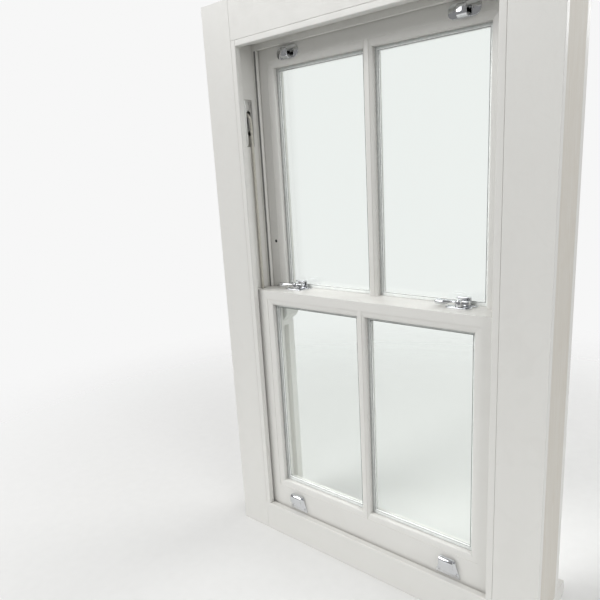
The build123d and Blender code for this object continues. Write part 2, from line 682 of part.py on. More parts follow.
def make_glass(low, high, face):
    """The two leaves of glass in each pane of a sash."""
    grow = REBATE - GLASS_EDGE_GAP
    leaves = []
    for left, right in pane_spans():
        for start in (GLASS_FROM_FACE, GLASS_FROM_FACE + GLASS_LEAF + GLASS_CAVITY):
            y = face + start
            leaves.append(block(left - grow, right + grow, y, y + GLASS_LEAF, low - grow, high + grow))
    return group(*leaves)


def make_spacers(low, high, face):
    """The sealed spacer frame between the two leaves of each pane."""
    grow = REBATE - GLASS_EDGE_GAP - 0.5
    y = face + GLASS_FROM_FACE + GLASS_LEAF
    frames = []
    for left, right in pane_spans():
        outer = block(left - grow, right + grow, y, y + GLASS_CAVITY, low - grow, high + grow)
        inner = block(
            left + SPACER_SHOWN, right - SPACER_SHOWN, y, y + GLASS_CAVITY,
            low + SPACER_SHOWN, high - SPACER_SHOWN,
        )
        frames.append(outer - inner)
    return group(*frames)


def glazing_bead_section():
    """Section of a glazing bead: flat against the rebate and the glass, bevelled outside."""
    depth = SASH_THICK - GLASS_FROM_FACE - 2 * GLASS_LEAF - GLASS_CAVITY
    width = REBATE
    points = [(0, 0), (width, 0), (width, depth - GLAZING_BEAD_CHAMFER), (width - 5, depth), (0, depth)]
    return make_face(Polyline(*points, close=True))


def make_glazing_beads(low, high, face):
    """Four beads round each pane on the outside; the upright ones fit between the others."""
    section = glazing_bead_section()
    y = face + GLASS_FROM_FACE + 2 * GLASS_LEAF + GLASS_CAVITY
    beads = []
    for left, right in pane_spans():
        beads.append(lying(section, left - REBATE, right + REBATE, y, low - REBATE, True))
        beads.append(lying(section, left - REBATE, right + REBATE, y, high + REBATE, False))
        beads.append(upright(section, left - REBATE, y, low, high))
        beads.append(upright(section, right + REBATE, y, low, high, flip=True))
    return group(*beads)


def hooked_tongue(width, reach, drop, corner):
    """A hook's fold and the tongue that hangs in front of it, its plate's front on Y = 0, top at Z = 0."""
    half = width / 2
    outer = reach / 2
    inner = outer - LIFT_SHEET
    ring = (Circle(outer) - Circle(inner)) & Pos(0, outer) * Rectangle(2 * reach, 2 * outer)
    fold_plane = Plane(origin=(-half, -outer, -outer), x_dir=(0, 1, 0), z_dir=(1, 0, 0))
    fold = extrude(fold_plane * ring, width)
    tongue = block(-half, half, -reach, -reach + LIFT_SHEET, -drop, -outer)
    ends = tongue.edges().filter_by(Axis.Y).group_by(Axis.Z)[0]
    return fold + fillet(ends, corner)


def make_lift():
    """A hook lift against Y = 0: a plate flared downwards, folded over at the top into its tongue."""
    half_wide = LIFT_PLATE_WIDE / 2
    half_hook = LIFT_HOOK_WIDTH / 2
    fold_z = -LIFT_REACH / 2
    outline = [
        (-half_wide, -LIFT_PLATE_HEIGHT),
        (half_wide, -LIFT_PLATE_HEIGHT),
        (half_hook, fold_z),
        (-half_hook, fold_z),
    ]
    plate = front_profile(outline, -LIFT_SHEET, 0)
    corners = plate.edges().filter_by(Axis.Y).group_by(Axis.Z)[0]
    plate = fillet(corners, LIFT_CORNER)
    return plate + hooked_tongue(LIFT_HOOK_WIDTH, LIFT_REACH, LIFT_TONGUE, LIFT_CORNER)


def make_pull():
    """A hook pull against Y = 0: a round-ended plate folded up at its lower edge into a narrow tongue."""
    plate_plane = Plane(origin=(0, 0, 0), x_dir=(1, 0, 0), z_dir=(0, -1, 0))
    plate = extrude(plate_plane * SlotOverall(PULL_WIDTH, PULL_HEIGHT), LIFT_SHEET)
    tongue = hooked_tongue(PULL_HOOK_WIDTH, PULL_REACH, PULL_TONGUE, PULL_CORNER)
    return plate + Pos(0, 0, -PULL_HEIGHT / 2) * Rot(0, 180, 0) * tongue


def make_lower_lifts():
    """The two hook lifts on the bottom rail, which raise the lower sash."""
    lift = make_lift()
    return group(*[Pos(x, LOWER_FACE_Y, LIFT_TOP_Z) * lift for x in (-LIFT_X, LIFT_X)])


def make_upper_pulls():
    """The two hook pulls on the top rail, which draw the upper sash down."""
    pull = make_pull()
    return group(*[Pos(x, UPPER_FACE_Y, PULL_CENTRE_Z) * pull for x in (-PULL_X, PULL_X)])


def make_fastener_base(x):
    """A fastener's base on the lower meeting rail: rounded plate, pivot post and its riveted cap."""
    base = Pos(x + BASE_OFFSET, PIVOT_Y, MEETING_TOP + BASE_THICK / 2) * Box(BASE_LENGTH, BASE_WIDTH, BASE_THICK)
    base = fillet(base.edges().filter_by(Axis.Z), BASE_WIDTH / 2 - 1)
    post_height = BASE_THICK + 2 * LEVER_GAP + HUB_HEIGHT + PIVOT_CAP_HEIGHT
    base += Pos(x, PIVOT_Y, MEETING_TOP + post_height / 2) * Cylinder(PIVOT_RADIUS, post_height)
    cap_z = MEETING_TOP + post_height - PIVOT_CAP_HEIGHT / 2
    return base + Pos(x, PIVOT_Y, cap_z) * Cylinder(PIVOT_CAP_RADIUS, PIVOT_CAP_HEIGHT)


def make_lever(x):
    """A fastener's lever: a hub, a flat rounded tongue one way and the locking cam the other way."""
    hub_low = MEETING_TOP + BASE_THICK + LEVER_GAP
    lever = Pos(0, 0, hub_low + HUB_HEIGHT / 2) * Cylinder(HUB_RADIUS, HUB_HEIGHT)
    tongue_low = hub_low + LEVER_LOW
    half = LEVER_WIDTH / 2
    tongue = block(-LEVER_LENGTH, 0, -half, half, tongue_low, tongue_low + LEVER_THICK)
    ends = tongue.edges().filter_by(Axis.Z).group_by(Axis.X)[0]
    tongue = fillet(ends, half - 1)
    half = CAM_WIDTH / 2
    cam = block(0, CAM_LENGTH, -half, half, hub_low + CAM_LOW, hub_low + HUB_HEIGHT)
    cam_end = cam.edges().filter_by(Axis.Z).group_by(Axis.X)[-1]
    cam = fillet(cam_end, half - 0.5)
    lever = lever + tongue + cam
    lever -= Pos(0, 0, hub_low + HUB_HEIGHT / 2) * Cylinder(PIVOT_RADIUS + PIN_CLEARANCE, HUB_HEIGHT)
    return Pos(x, PIVOT_Y, 0) * lever


def make_keep(x):
    """A fastener's keep on the upper meeting rail: a foot, a wall by the glass and a roof over the cam."""
    front = JOINT_Y + MEETING_SPLAY / 2 + RAIL_GAP + 1.0
    back = front + KEEP_DEPTH
    left = x - KEEP_WIDTH / 2
    right = x + KEEP_WIDTH / 2
    keep = block(left, left + KEEP_FOOT, front, back, MEETING_TOP, MEETING_TOP + KEEP_SHEET / 2)
    keep += block(left, right, back - KEEP_SHEET, back, MEETING_TOP, MEETING_TOP + KEEP_HEIGHT)
    roof_z = MEETING_TOP + KEEP_HEIGHT
    keep += block(left, right, front, back, roof_z - KEEP_SHEET, roof_z)
    top_edge = [e for e in keep.edges().filter_by(Axis.X)
                if e.center().Z > roof_z - 0.01 and e.center().Y > back - 0.01]
    return fillet(top_edge, KEEP_SHEET * 0.8)


def build():
    """Every piece of the window by its name."""
    nodes = {}

    def both_sides(name, shape):
        nodes[name + "_right"] = shape
        nodes[name + "_left"] = mirrored(shape)

    both_sides("pulley_stile", make_pulley_stile())
    stiles = nodes["pulley_stile_left"] + nodes["pulley_stile_right"]
    nodes["sill"] = make_sill(stiles)
    nodes["head"] = make_head(stiles)
    both_sides("inner_lining", make_inner_lining())
    both_sides("outer_lining", make_outer_lining())
    both_sides("back_lining", make_back_lining())
    nodes["inner_lining_head"] = block(
        -STILE_FACE_X, STILE_FACE_X, ROOM_Y, LINING_BACK_Y, SOFFIT_Z, FRAME_HEIGHT
    )
    nodes["outer_lining_head"] = block(
        -BEAD_X, BEAD_X, OUTER_Y, FRAME_BACK_Y, SOFFIT_Z - BEAD_PROUD, FRAME_HEIGHT
    )
    both_sides("parting_bead", make_parting_bead())
    nodes["parting_bead_head"] = make_parting_bead_head()
    both_sides("staff_bead", make_staff_bead())
    nodes["staff_bead_head"] = make_staff_bead_head()
    nodes["bottom_bead"] = make_bottom_bead()
    both_sides("pocket_piece", make_pocket_piece())
    both_sides("wagtail", make_wagtail())

    cases = [make_pulley_case(y) for y in (LOWER_TRACK_Y, UPPER_TRACK_Y)]
    nodes["pulley_cases"] = group(*cases, *[mirrored(case) for case in cases])
    both_sides("lower_pulley", make_pulley_wheel(LOWER_TRACK_Y))
    both_sides("upper_pulley", make_pulley_wheel(UPPER_TRACK_Y))
    both_sides("lower_weight", make_weight(LOWER_TRACK_Y, WEIGHT_HIGH_Z, LOWER_WEIGHT_LENGTH))
    both_sides("upper_weight", make_weight(UPPER_TRACK_Y, WEIGHT_LOW_Z, UPPER_WEIGHT_LENGTH))

    turns = [make_cord_turn(y) for y in (LOWER_TRACK_Y, UPPER_TRACK_Y)]
    nodes["cord_turns"] = group(*turns, *[mirrored(turn) for turn in turns])
    knot_in_weight = WEIGHT_NECK + KNOT_RADIUS
    runs = {
        "lower_sash_cords": (CORD_X, LOWER_TRACK_Y, LOWER_KNOT_Z, KNOT_X),
        "upper_sash_cords": (CORD_X, UPPER_TRACK_Y, UPPER_KNOT_Z, KNOT_X),
        "lower_weight_cords": (WEIGHT_X, LOWER_TRACK_Y, WEIGHT_HIGH_Z - knot_in_weight, WEIGHT_X),
        "upper_weight_cords": (WEIGHT_X, UPPER_TRACK_Y, WEIGHT_LOW_Z - knot_in_weight, WEIGHT_X),
    }
    for name, route in runs.items():
        run = make_cord_run(*route)
        nodes[name] = group(run, mirrored(run))

    both_sides("lower_stile", make_lower_stile())
    lower_stiles = nodes["lower_stile_left"] + nodes["lower_stile_right"]
    bottom_rail = make_rail(LOWER_BOTTOM_Z, BOTTOM_RAIL, LOWER_FACE_Y, True, lower_stiles)
    foot = block(
        -SHOULDER_X, SHOULDER_X, LOWER_FACE_Y, LOWER_BACK_Y, LOWER_BOTTOM_Z - SASH_THICK * SLOPE,
        LOWER_BOTTOM_Z,
    )
    nodes["lower_bottom_rail"] = bottom_rail + (foot - sill_bevel_cut() - lower_stiles)
    lower_meeting = make_rail(MEETING_TOP, MEETING_RAIL, LOWER_FACE_Y, False, lower_stiles)
    nodes["lower_meeting_rail"] = lower_meeting + lower_meeting_extension()
    nodes["lower_glazing_bar"] = make_bar(
        LOWER_SIGHT_BOTTOM, LOWER_SIGHT_TOP, LOWER_FACE_Y,
        [nodes["lower_bottom_rail"], nodes["lower_meeting_rail"]],
    )

    both_sides("upper_stile", make_upper_stile())
    upper_stiles = nodes["upper_stile_left"] + nodes["upper_stile_right"]
    nodes["upper_top_rail"] = make_rail(UPPER_TOP_Z, TOP_RAIL, UPPER_FACE_Y, False, upper_stiles)
    upper_meeting = make_rail(UPPER_RAIL_BOTTOM, MEETING_RAIL, UPPER_FACE_Y, True, upper_stiles)
    upper_meeting += meeting_rail_fill(UPPER_FACE_Y) - upper_stiles
    nodes["upper_meeting_rail"] = upper_meeting + upper_meeting_extension()
    nodes["upper_glazing_bar"] = make_bar(
        UPPER_SIGHT_BOTTOM, UPPER_SIGHT_TOP, UPPER_FACE_Y,
        [nodes["upper_top_rail"], nodes["upper_meeting_rail"]],
    )

    panes = {
        "lower": (LOWER_SIGHT_BOTTOM, LOWER_SIGHT_TOP, LOWER_FACE_Y),
        "upper": (UPPER_SIGHT_BOTTOM, UPPER_SIGHT_TOP, UPPER_FACE_Y),
    }
    for sash, pane in panes.items():
        nodes[sash + "_glass"] = make_glass(*pane)
        nodes[sash + "_spacers"] = make_spacers(*pane)
        nodes[sash + "_glazing_beads"] = make_glazing_beads(*pane)

    nodes["lower_lifts"] = make_lower_lifts()
    nodes["upper_pulls"] = make_upper_pulls()
    nodes["fastener_bases"] = group(make_fastener_base(-FASTENER_X), make_fastener_base(FASTENER_X))
    nodes["fastener_lever_left"] = make_lever(-FASTENER_X)
    nodes["fastener_lever_right"] = make_lever(FASTENER_X)
    nodes["fastener_keeps"] = group(make_keep(-FASTENER_X), make_keep(FASTENER_X))
    return nodes


def main():
    os.makedirs("parts", exist_ok=True)
    for name, shape in build().items():
        export_step(shape, f"parts/{name}.step")
    print(f"cord turn radius {PULLEY_RADIUS} mm, cord diameter {2 * CORD_RADIUS} mm")


main()
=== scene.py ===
"""Looks of a painted timber box sash window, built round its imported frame. Metres, +Z up."""

import json
import logging
import math
from abc import ABC, abstractmethod
from dataclasses import dataclass, field
from enum import Enum, IntEnum
from functools import cache
from itertools import product, starmap
from operator import matmul
from typing import Any, Callable, Iterable, Sequence

import bmesh
import bpy
from bmesh.types import BMEdge, BMesh, BMFace, BMVert
from bpy.types import Material, Node, NodeSocket, NodeTree, Object
from mathutils import Matrix, Vector

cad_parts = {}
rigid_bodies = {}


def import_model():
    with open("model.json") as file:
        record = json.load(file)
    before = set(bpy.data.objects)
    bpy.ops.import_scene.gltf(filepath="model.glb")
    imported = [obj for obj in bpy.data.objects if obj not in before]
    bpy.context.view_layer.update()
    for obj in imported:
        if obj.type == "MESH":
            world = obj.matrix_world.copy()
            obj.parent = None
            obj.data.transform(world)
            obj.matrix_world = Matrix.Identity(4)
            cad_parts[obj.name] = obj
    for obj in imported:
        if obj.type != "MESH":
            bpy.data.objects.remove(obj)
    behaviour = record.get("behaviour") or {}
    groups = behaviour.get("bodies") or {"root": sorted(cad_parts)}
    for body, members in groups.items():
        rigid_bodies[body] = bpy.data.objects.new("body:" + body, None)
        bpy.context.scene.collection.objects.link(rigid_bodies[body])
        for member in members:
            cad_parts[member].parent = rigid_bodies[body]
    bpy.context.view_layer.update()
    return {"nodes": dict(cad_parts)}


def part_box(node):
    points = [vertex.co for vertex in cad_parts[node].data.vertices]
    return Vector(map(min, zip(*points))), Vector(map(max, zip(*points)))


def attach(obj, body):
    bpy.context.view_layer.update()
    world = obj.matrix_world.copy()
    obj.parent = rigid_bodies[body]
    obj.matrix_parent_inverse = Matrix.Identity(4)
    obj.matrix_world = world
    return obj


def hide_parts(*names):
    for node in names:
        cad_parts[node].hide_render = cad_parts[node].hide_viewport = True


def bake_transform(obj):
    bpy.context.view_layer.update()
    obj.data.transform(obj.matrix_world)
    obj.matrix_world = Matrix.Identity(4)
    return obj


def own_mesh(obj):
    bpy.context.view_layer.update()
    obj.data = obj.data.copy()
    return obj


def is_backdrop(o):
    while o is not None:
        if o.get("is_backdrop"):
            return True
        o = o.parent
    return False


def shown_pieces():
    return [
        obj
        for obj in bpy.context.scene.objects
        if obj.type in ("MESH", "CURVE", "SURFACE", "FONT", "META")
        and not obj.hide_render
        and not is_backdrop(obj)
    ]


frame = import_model()

log = logging.getLogger("sash_window")

MM = 0.001
TINY = 1e-7
WELD = 1e-6  # how close the vertices of one corner are
CREASE = 35.0  # the turn in degrees above which an edge is an arris
FLAT = math.radians(0.4)  # the turn below which two faces count as one
FACET = math.radians(12)  # how far each step of a rounded corner turns
FEATHER = math.radians(40)  # the angle below which a face's corner is too sharp to be rounded
STRAIGHT_ON = math.radians(150)  # the angle above which the next edge carries an arris on
ARC_STEPS = 3
SASHES = ("lower", "upper")
ORIGIN = (0.0, 0.0, 0.0)
UP = (0.0, 0.0, 1.0)
OUT = (0.0, 1.0, 0.0)
ROOM = (0.0, -1.0, 0.0)
Point = Sequence[float]
Outline = list[tuple[float, float]]
Rgb = tuple[float, float, float]


class Run(Enum):
    """Which way a timber member runs, as the stretch of its grain and brush marks along X, Y and Z."""

    ACROSS = (0.03, 1.0, 1.0)
    UPRIGHT = (1.0, 1.0, 0.03)


class Winding(Enum):
    """What a braid's pattern is measured along: the cord's own length, or its height where it may stretch."""

    LENGTH = "length"
    HEIGHT = "height"


class Side(IntEnum):
    """One side of the window, as the sign of X."""

    LEFT = -1
    RIGHT = 1

    @property
    def word(self) -> str:
        """The side's name as the nodes and bodies spell it."""
        return self.name.lower()


class Graph:
    """A node tree under construction, with short calls for adding and wiring nodes."""

    def __init__(self, tree: NodeTree) -> None:
        """Start on the tree of a material, a group or the world."""
        self.tree = tree

    def feed(self, socket: NodeSocket, value: Any) -> None:
        """Link an output to an input, or set the input's own value.

        Args:
            socket: the input.
            value: an output, a number, a vector, or a colour as three numbers.
        """
        if isinstance(value, NodeSocket):
            self.tree.links.new(value, socket)
        else:
            socket.default_value = (*value, 1.0) if socket.type == "RGBA" else value

    def add(self, kind: str, sockets: dict[str | int, Any] | None = None, **settings: Any) -> Node:
        """Add a node.

        Args:
            kind: its type's name without the ShaderNode prefix.
            sockets: what feeds its inputs, by their names or indices.
            **settings: its own properties.

        Returns:
            The new node.
        """
        node = self.tree.nodes.new("ShaderNode" + kind)
        for key, value in settings.items():
            setattr(node, key, value)
        for key, value in (sockets or {}).items():
            self.feed(node.inputs[key], value)
        return node

    def math(self, operation: str, *values: Any) -> NodeSocket:
        """The result of a Math node on numbers or sockets."""
        return self.add("Math", dict(enumerate(values)), operation=operation).outputs[0]

    def plus(self, base: NodeSocket, *terms: tuple[NodeSocket, float]) -> NodeSocket:
        """Add weighted values to a value.

        Args:
            base: the value.
            *terms: what is added, as values and their weights.

        Returns:
            The sum.
        """
        for value, weight in terms:
            base = self.math("MULTIPLY_ADD", value, weight, base)
        return base

    def ramp(self, value: NodeSocket, low: Any, high: Any) -> NodeSocket:
        """The value spread smoothly from 0 at low to 1 at high."""
        ends = {"Value": value, "From Min": low, "From Max": high}
        return self.add("MapRange", ends, interpolation_type="SMOOTHSTEP").outputs["Result"]

    def between(self, value: NodeSocket, low: float, high: float) -> NodeSocket:
        """A value from 0 to 1 turned straight into one from low to high."""
        return self.add("MapRange", {"Value": value, "To Min": low, "To Max": high}).outputs["Result"]

    def mix(self, factor: NodeSocket, first: Any, second: Any) -> NodeSocket:
        """A colour between two colours."""
        return self.add("Mix", {"Factor": factor, 6: first, 7: second}, data_type="RGBA").outputs[2]

    def noise(self, vector: NodeSocket, scale: Any, detail: float, **more: float) -> NodeSocket:
        """The value of a noise texture, with its further inputs by name."""
        return self.add("TexNoise", {"Vector": vector, "Scale": scale, "Detail": detail, **more}).outputs[0]

    def axis(self, vector: NodeSocket, name: str) -> NodeSocket:
        """One coordinate of a vector."""
        return self.add("SeparateXYZ", {0: vector}).outputs[name]


class Group(Graph):
    """A node group under construction, for an effect that several materials share."""

    def __init__(self, name: str, inputs: dict[str, Any], *outputs: str) -> None:
        """Open a group.

        Args:
            name: the group's name.
            inputs: the defaults of its inputs by name, where a tuple makes one a vector.
            *outputs: the names of the values that it gives.
        """
        super().__init__(bpy.data.node_groups.new(name, "ShaderNodeTree"))
        new_socket = self.tree.interface.new_socket
        for label, default in inputs.items():
            kind = "NodeSocketVector" if isinstance(default, tuple) else "NodeSocketFloat"
            new_socket(name=label, in_out="INPUT", socket_type=kind).default_value = default
        for label in outputs:
            new_socket(name=label, in_out="OUTPUT", socket_type="NodeSocketFloat")
        self.given = self.tree.nodes.new("NodeGroupInput").outputs
        self.out = self.tree.nodes.new("NodeGroupOutput").inputs

    def stretched(self) -> NodeSocket:
        """The given vector times the given stretch."""
        factors = {0: self.given["Vector"], 1: self.given["Stretch"]}
        return self.add("VectorMath", factors, operation="MULTIPLY").outputs[0]

    def give(self, **values: NodeSocket) -> NodeTree:
        """Feed the outputs and finish the group.

        Args:
            **values: what feeds them, by their names.

        Returns:
            The group.
        """
        for label, value in values.items():
            self.feed(self.out[label], value)
        return self.tree


@cache
def film() -> NodeTree:
    """A coat of paint or lacquer: long faint brush marks, fine peel and slow mottling.

    Returns:
        The node group.
    """
    inputs = {"Vector": ORIGIN, "Stretch": (1.0, 1.0, 1.0), "Marks": 420.0, "Peel": 900.0}
    group = Group("film", inputs, "Height", "Mottle", "Streak")
    along = group.stretched()
    marks = group.noise(along, group.given["Marks"], 3.0, Roughness=0.6)
    peel = group.noise(group.given["Vector"], group.given["Peel"], 1.0)
    slow = group.noise(along, 9.0, 4.0, Roughness=0.55)
    height = group.plus(group.math("MULTIPLY", peel, 0.45), (marks, 0.55))
    return group.give(Height=height, Mottle=group.ramp(slow, 0.32, 0.68), Streak=group.ramp(marks, 0.3, 0.7))


@cache
def specks() -> NodeTree:
    """Sparse round specks, such as nibs in paint, pits in iron or dust on glass.

    Returns:
        The node group.
    """
    group = Group("specks", {"Vector": ORIGIN, "Scale": 120.0, "Size": 0.12, "Share": 0.2}, "Mask")
    cells = group.add("TexVoronoi", {"Vector": group.given["Vector"], "Scale": group.given["Scale"]})
    grey = group.add("SeparateColor", {0: cells.outputs["Color"]}).outputs[0]
    chosen = group.math("LESS_THAN", grey, group.given["Share"])
    dot = group.ramp(cells.outputs["Distance"], group.given["Size"], 0.0)
    return group.give(Mask=group.math("MULTIPLY", chosen, dot))


@cache
def smears() -> NodeTree:
    """Broad soft smears, such as finger marks on metal or haze on glass.

    Returns:
        The node group.
    """
    group = Group("smears", {"Vector": ORIGIN, "Scale": 30.0}, "Mask")
    vector, scale = group.given["Vector"], group.given["Scale"]
    warp = group.noise(vector, scale, 2.0).node.outputs["Color"]
    terms = {0: vector, 1: warp, 2: (0.1, 0.2, 0.3)}
    bent = group.add("VectorMath", terms, operation="MULTIPLY_ADD").outputs[0]
    return group.give(Mask=group.ramp(group.noise(bent, scale, 5.0, Distortion=0.8), 0.42, 0.72))


@cache
def grain() -> NodeTree:
    """Softwood: growth rings cut lengthwise, with finer pores between them.

    Returns:
        The node group.
    """
    group = Group("grain", {"Vector": ORIGIN, "Stretch": (1.0, 1.0, 1.0)}, "Rings", "Pores")
    along = group.stretched()
    rings = group.math("FRACT", group.math("MULTIPLY", group.noise(along, 28.0, 2.0), 14.0))
    return group.give(Rings=rings, Pores=group.noise(along, 900.0, 3.0))


@cache
def dust() -> NodeTree:
    """Painted shade in corners that are tucked in, and where dust gathers on faces that look up.

    Returns:
        The node group.
    """
    group = Group("dust", {"Reach": 0.012}, "Tucked", "Upward")
    # Ambient occlusion ramped into a mask of painted shade for tucked-in corners.
    openness = group.add("AmbientOcclusion", {"Distance": group.given["Reach"]}, samples=4).outputs["AO"]
    height = group.axis(group.add("NewGeometry").outputs["Normal"], "Z")
    return group.give(Tucked=group.ramp(openness, 0.75, 0.25), Upward=group.ramp(height, 0.5, 0.95))


@cache
def unevenness() -> NodeTree:
    """A matt stuff's fine unevenness.

    Returns:
        The node group.
    """
    group = Group("unevenness", {"Vector": ORIGIN, "Scale": 600.0}, "Height", "Tone")
    noise = group.noise(group.given["Vector"], group.given["Scale"], 4.0)
    return group.give(Height=noise, Tone=group.ramp(noise, 0.35, 0.65))


@cache
def weave() -> NodeTree:
    """A braid whose strands pass over and under each other, by how many strands it is around and along.

    Returns:
        The node group.
    """
    group = Group("weave", {"Around": 0.0, "Along": 0.0}, "Height")
    around, along = group.given["Around"], group.given["Along"]
    lanes = [group.math(operation, around, along) for operation in ("ADD", "SUBTRACT")]
    floors = [group.math("FLOOR", lane) for lane in lanes]
    crowns = [group.math("PINGPONG", lane, 0.5) for lane in lanes]
    parity = group.math("PINGPONG", group.math("ADD", *floors), 1.0)
    over = group.add("Mix", {"Factor": parity, 2: crowns[0], 3: crowns[1]}, data_type="FLOAT").outputs[0]
    return group.give(Height=group.math("MULTIPLY", over, 2.0))


class Surface(Graph):
    """A material under construction, on its own object coordinates."""

    def __init__(self, name: str) -> None:
        """Start a material.

        Args:
            name: its name.
        """
        self.material = bpy.data.materials.new(name)
        self.material.use_nodes = True
        super().__init__(self.material.node_tree)
        self.place = self.add("TexCoord").outputs["Object"]

    def use(self, group: NodeTree, **sockets: Any) -> Any:
        """Place a node group on the object coordinates if it takes a vector.

        Args:
            group: the group.
            **sockets: what feeds its other inputs, by their names.

        Returns:
            Its outputs.
        """
        node = self.add("Group", node_tree=group)
        if "Vector" in node.inputs:
            sockets["Vector"] = self.place
        for label, value in sockets.items():
            self.feed(node.inputs[label], value)
        return node.outputs

    def bump(self, height: NodeSocket, depth: float, strength: float) -> NodeSocket:
        """The normals of a relief that is some metres deep."""
        return self.add("Bump", {"Height": height, "Distance": depth, "Strength": strength}).outputs[0]

    def dress(self, sockets: dict[str, Any]) -> Material:
        """Feed the shader's inputs and finish the material.

        Args:
            sockets: what feeds them, by their names.

        Returns:
            The material.
        """
        inputs = self.tree.nodes["Principled BSDF"].inputs
        for label, value in sockets.items():
            self.feed(inputs[label], value)
        return self.material


@dataclass(frozen=True)
class Paint:
    """Sprayed and laid-off satin paint on planed timber.

    Attributes:
        colour: the clean film.
        soiled: what dust and handling turn it to, and the colour of the painted shade in tucked-in corners.
        roughness: the film's mean roughness.
    """

    colour: Rgb = (0.775, 0.77, 0.74)
    soiled: Rgb = (0.50, 0.48, 0.44)
    roughness: float = 0.36

    def material(self, run: Run) -> Material:
        """Make the paint on a member.

        Args:
            run: which way the member runs.

        Returns:
            The material.
        """
        look = Surface(f"paint_{run.name.lower()}")
        coat = look.use(film(), Stretch=run.value)
        nibs = look.use(specks(), Scale=160.0, Size=0.1, Share=0.16)["Mask"]
        smear = look.use(smears(), Scale=11.0)["Mask"]
        rings = look.use(grain(), Stretch=run.value)["Rings"]
        dust_and_shade_masks = look.use(dust(), Reach=0.012)
        settled = look.math("MULTIPLY", dust_and_shade_masks["Upward"], coat["Mottle"])
        # The mix towards the soiled colour is mostly painted shade in tucked-in corners, with real smears,
        # mottle, settled dust and nibs.
        soil_and_shade = look.plus(look.math("MULTIPLY", dust_and_shade_masks["Tucked"], 0.34), (smear, 0.05),
                         (coat["Mottle"], 0.05), (settled, 0.22), (nibs, 0.12))
        shine = look.math("MULTIPLY", look.math("ADD", coat["Streak"], smear), 0.5)
        relief = look.plus(coat["Height"], (nibs, 0.8), (rings, 0.12))
        return look.dress({
            "Base Color": look.mix(soil_and_shade, self.colour, self.soiled),
            "Roughness": look.between(shine, self.roughness - 0.05, self.roughness + 0.1),
            "Normal": look.bump(relief, 0.00045, 0.6),
        })


@dataclass(frozen=True)
class Softwood:
    """Bare planed softwood of the parts inside the weight boxes.

    Attributes:
        early: the pale wood of a growth ring.
        late: the dark wood of a growth ring.
        stain: what it weathers to.
    """

    early: Rgb = (0.62, 0.44, 0.25)
    late: Rgb = (0.42, 0.26, 0.13)
    stain: Rgb = (0.30, 0.24, 0.18)

    def material(self) -> Material:
        """Make the bare timber, running upright.

        Returns:
            The material.
        """
        look = Surface("bare_softwood")
        wood = look.use(grain(), Stretch=Run.UPRIGHT.value)
        stained = look.math("MULTIPLY", look.use(smears(), Scale=8.0)["Mask"], 0.3)
        tone = look.plus(look.math("MULTIPLY", wood["Rings"], 0.6), (wood["Pores"], 0.25))
        return look.dress({
            "Base Color": look.mix(stained, look.mix(tone, self.early, self.late), self.stain),
            "Roughness": look.between(wood["Pores"], 0.6, 0.85),
            "Normal": look.bump(tone, 0.0002, 0.5),
        })


@dataclass(frozen=True)
class Primer:
    """A thin coat of primer on softwood, whose grain still shows through.

    Attributes:
        colour: the primer where it lies thick.
        thin: the primer where the grain drinks it.
    """

    colour: Rgb = (0.70, 0.685, 0.64)
    thin: Rgb = (0.56, 0.50, 0.41)

    def material(self, run: Run) -> Material:
        """Make the primer on a board.

        Args:
            run: which way the board runs.

        Returns:
            The material.
        """
        look = Surface(f"primed_{run.name.lower()}")
        wood = look.use(grain(), Stretch=run.value)
        stain = look.use(smears(), Scale=9.0)["Mask"]
        tone = look.plus(look.math("MULTIPLY", wood["Rings"], 0.22), (wood["Pores"], 0.3))
        return look.dress({
            "Base Color": look.mix(look.plus(tone, (stain, 0.08)), self.colour, self.thin),
            "Roughness": look.between(wood["Pores"], 0.62, 0.8),
            "Normal": look.bump(tone, 0.00015, 0.5),
        })


@dataclass(frozen=True)
class Metal:
    """A plated or cast metal, with smears and pits.

    Attributes:
        name: the material's name.
        colour: the clean metal.
        dull: what it turns to where it is worn, smeared or rusty.
        roughness: roughness where clean and where dulled.
        metallic: 1 for bare or plated metal.
        peel: how deep its surface undulates, in metres.
        peel_scale: how close the undulations are.
        dulled: how much of the dull colour shows.
    """

    name: str
    colour: Rgb
    dull: Rgb
    roughness: tuple[float, float]
    metallic: float = 1.0
    peel: float = 0.000006
    peel_scale: float = 300.0
    dulled: float = 0.25

    def material(self) -> Material:
        """Make the metal.

        Returns:
            The material.
        """
        look = Surface(self.name)
        smear = look.use(smears(), Scale=70.0)["Mask"]
        pits = look.use(specks(), Scale=700.0, Size=0.35, Share=0.3)["Mask"]
        waves = look.use(film(), Marks=self.peel_scale, Peel=self.peel_scale * 3)["Height"]
        relief = look.math("SUBTRACT", waves, look.math("MULTIPLY", pits, 0.4))
        return look.dress({
            "Metallic": self.metallic,
            "Base Color": look.mix(look.math("MULTIPLY", smear, self.dulled), self.colour, self.dull),
            "Roughness": look.between(smear, *self.roughness),
            "Normal": look.bump(relief, self.peel, 1.0),
        })


@dataclass(frozen=True)
class Pane:
    """Clear float glass with a thin haze of dust.

    Attributes:
        tint: its faint green.
    """

    tint: Rgb = (0.965, 0.985, 0.972)

    def material(self) -> Material:
        """Make the glass, which casts no shadow.

        Returns:
            The material.
        """
        look = Surface("float_glass")
        motes = look.use(specks(), Scale=260.0, Size=0.1, Share=0.05)["Mask"]
        haze = look.use(smears(), Scale=5.0)["Mask"]
        return look.dress({
            "Base Color": self.tint,
            "Transmission Weight": 1.0,
            "IOR": 1.5,
            "Roughness": look.plus(look.math("MULTIPLY", motes, 0.25), (haze, 0.012)),
            "Alpha": look.math("SUBTRACT", 1.0, look.add("LightPath").outputs["Is Shadow Ray"]),
        })


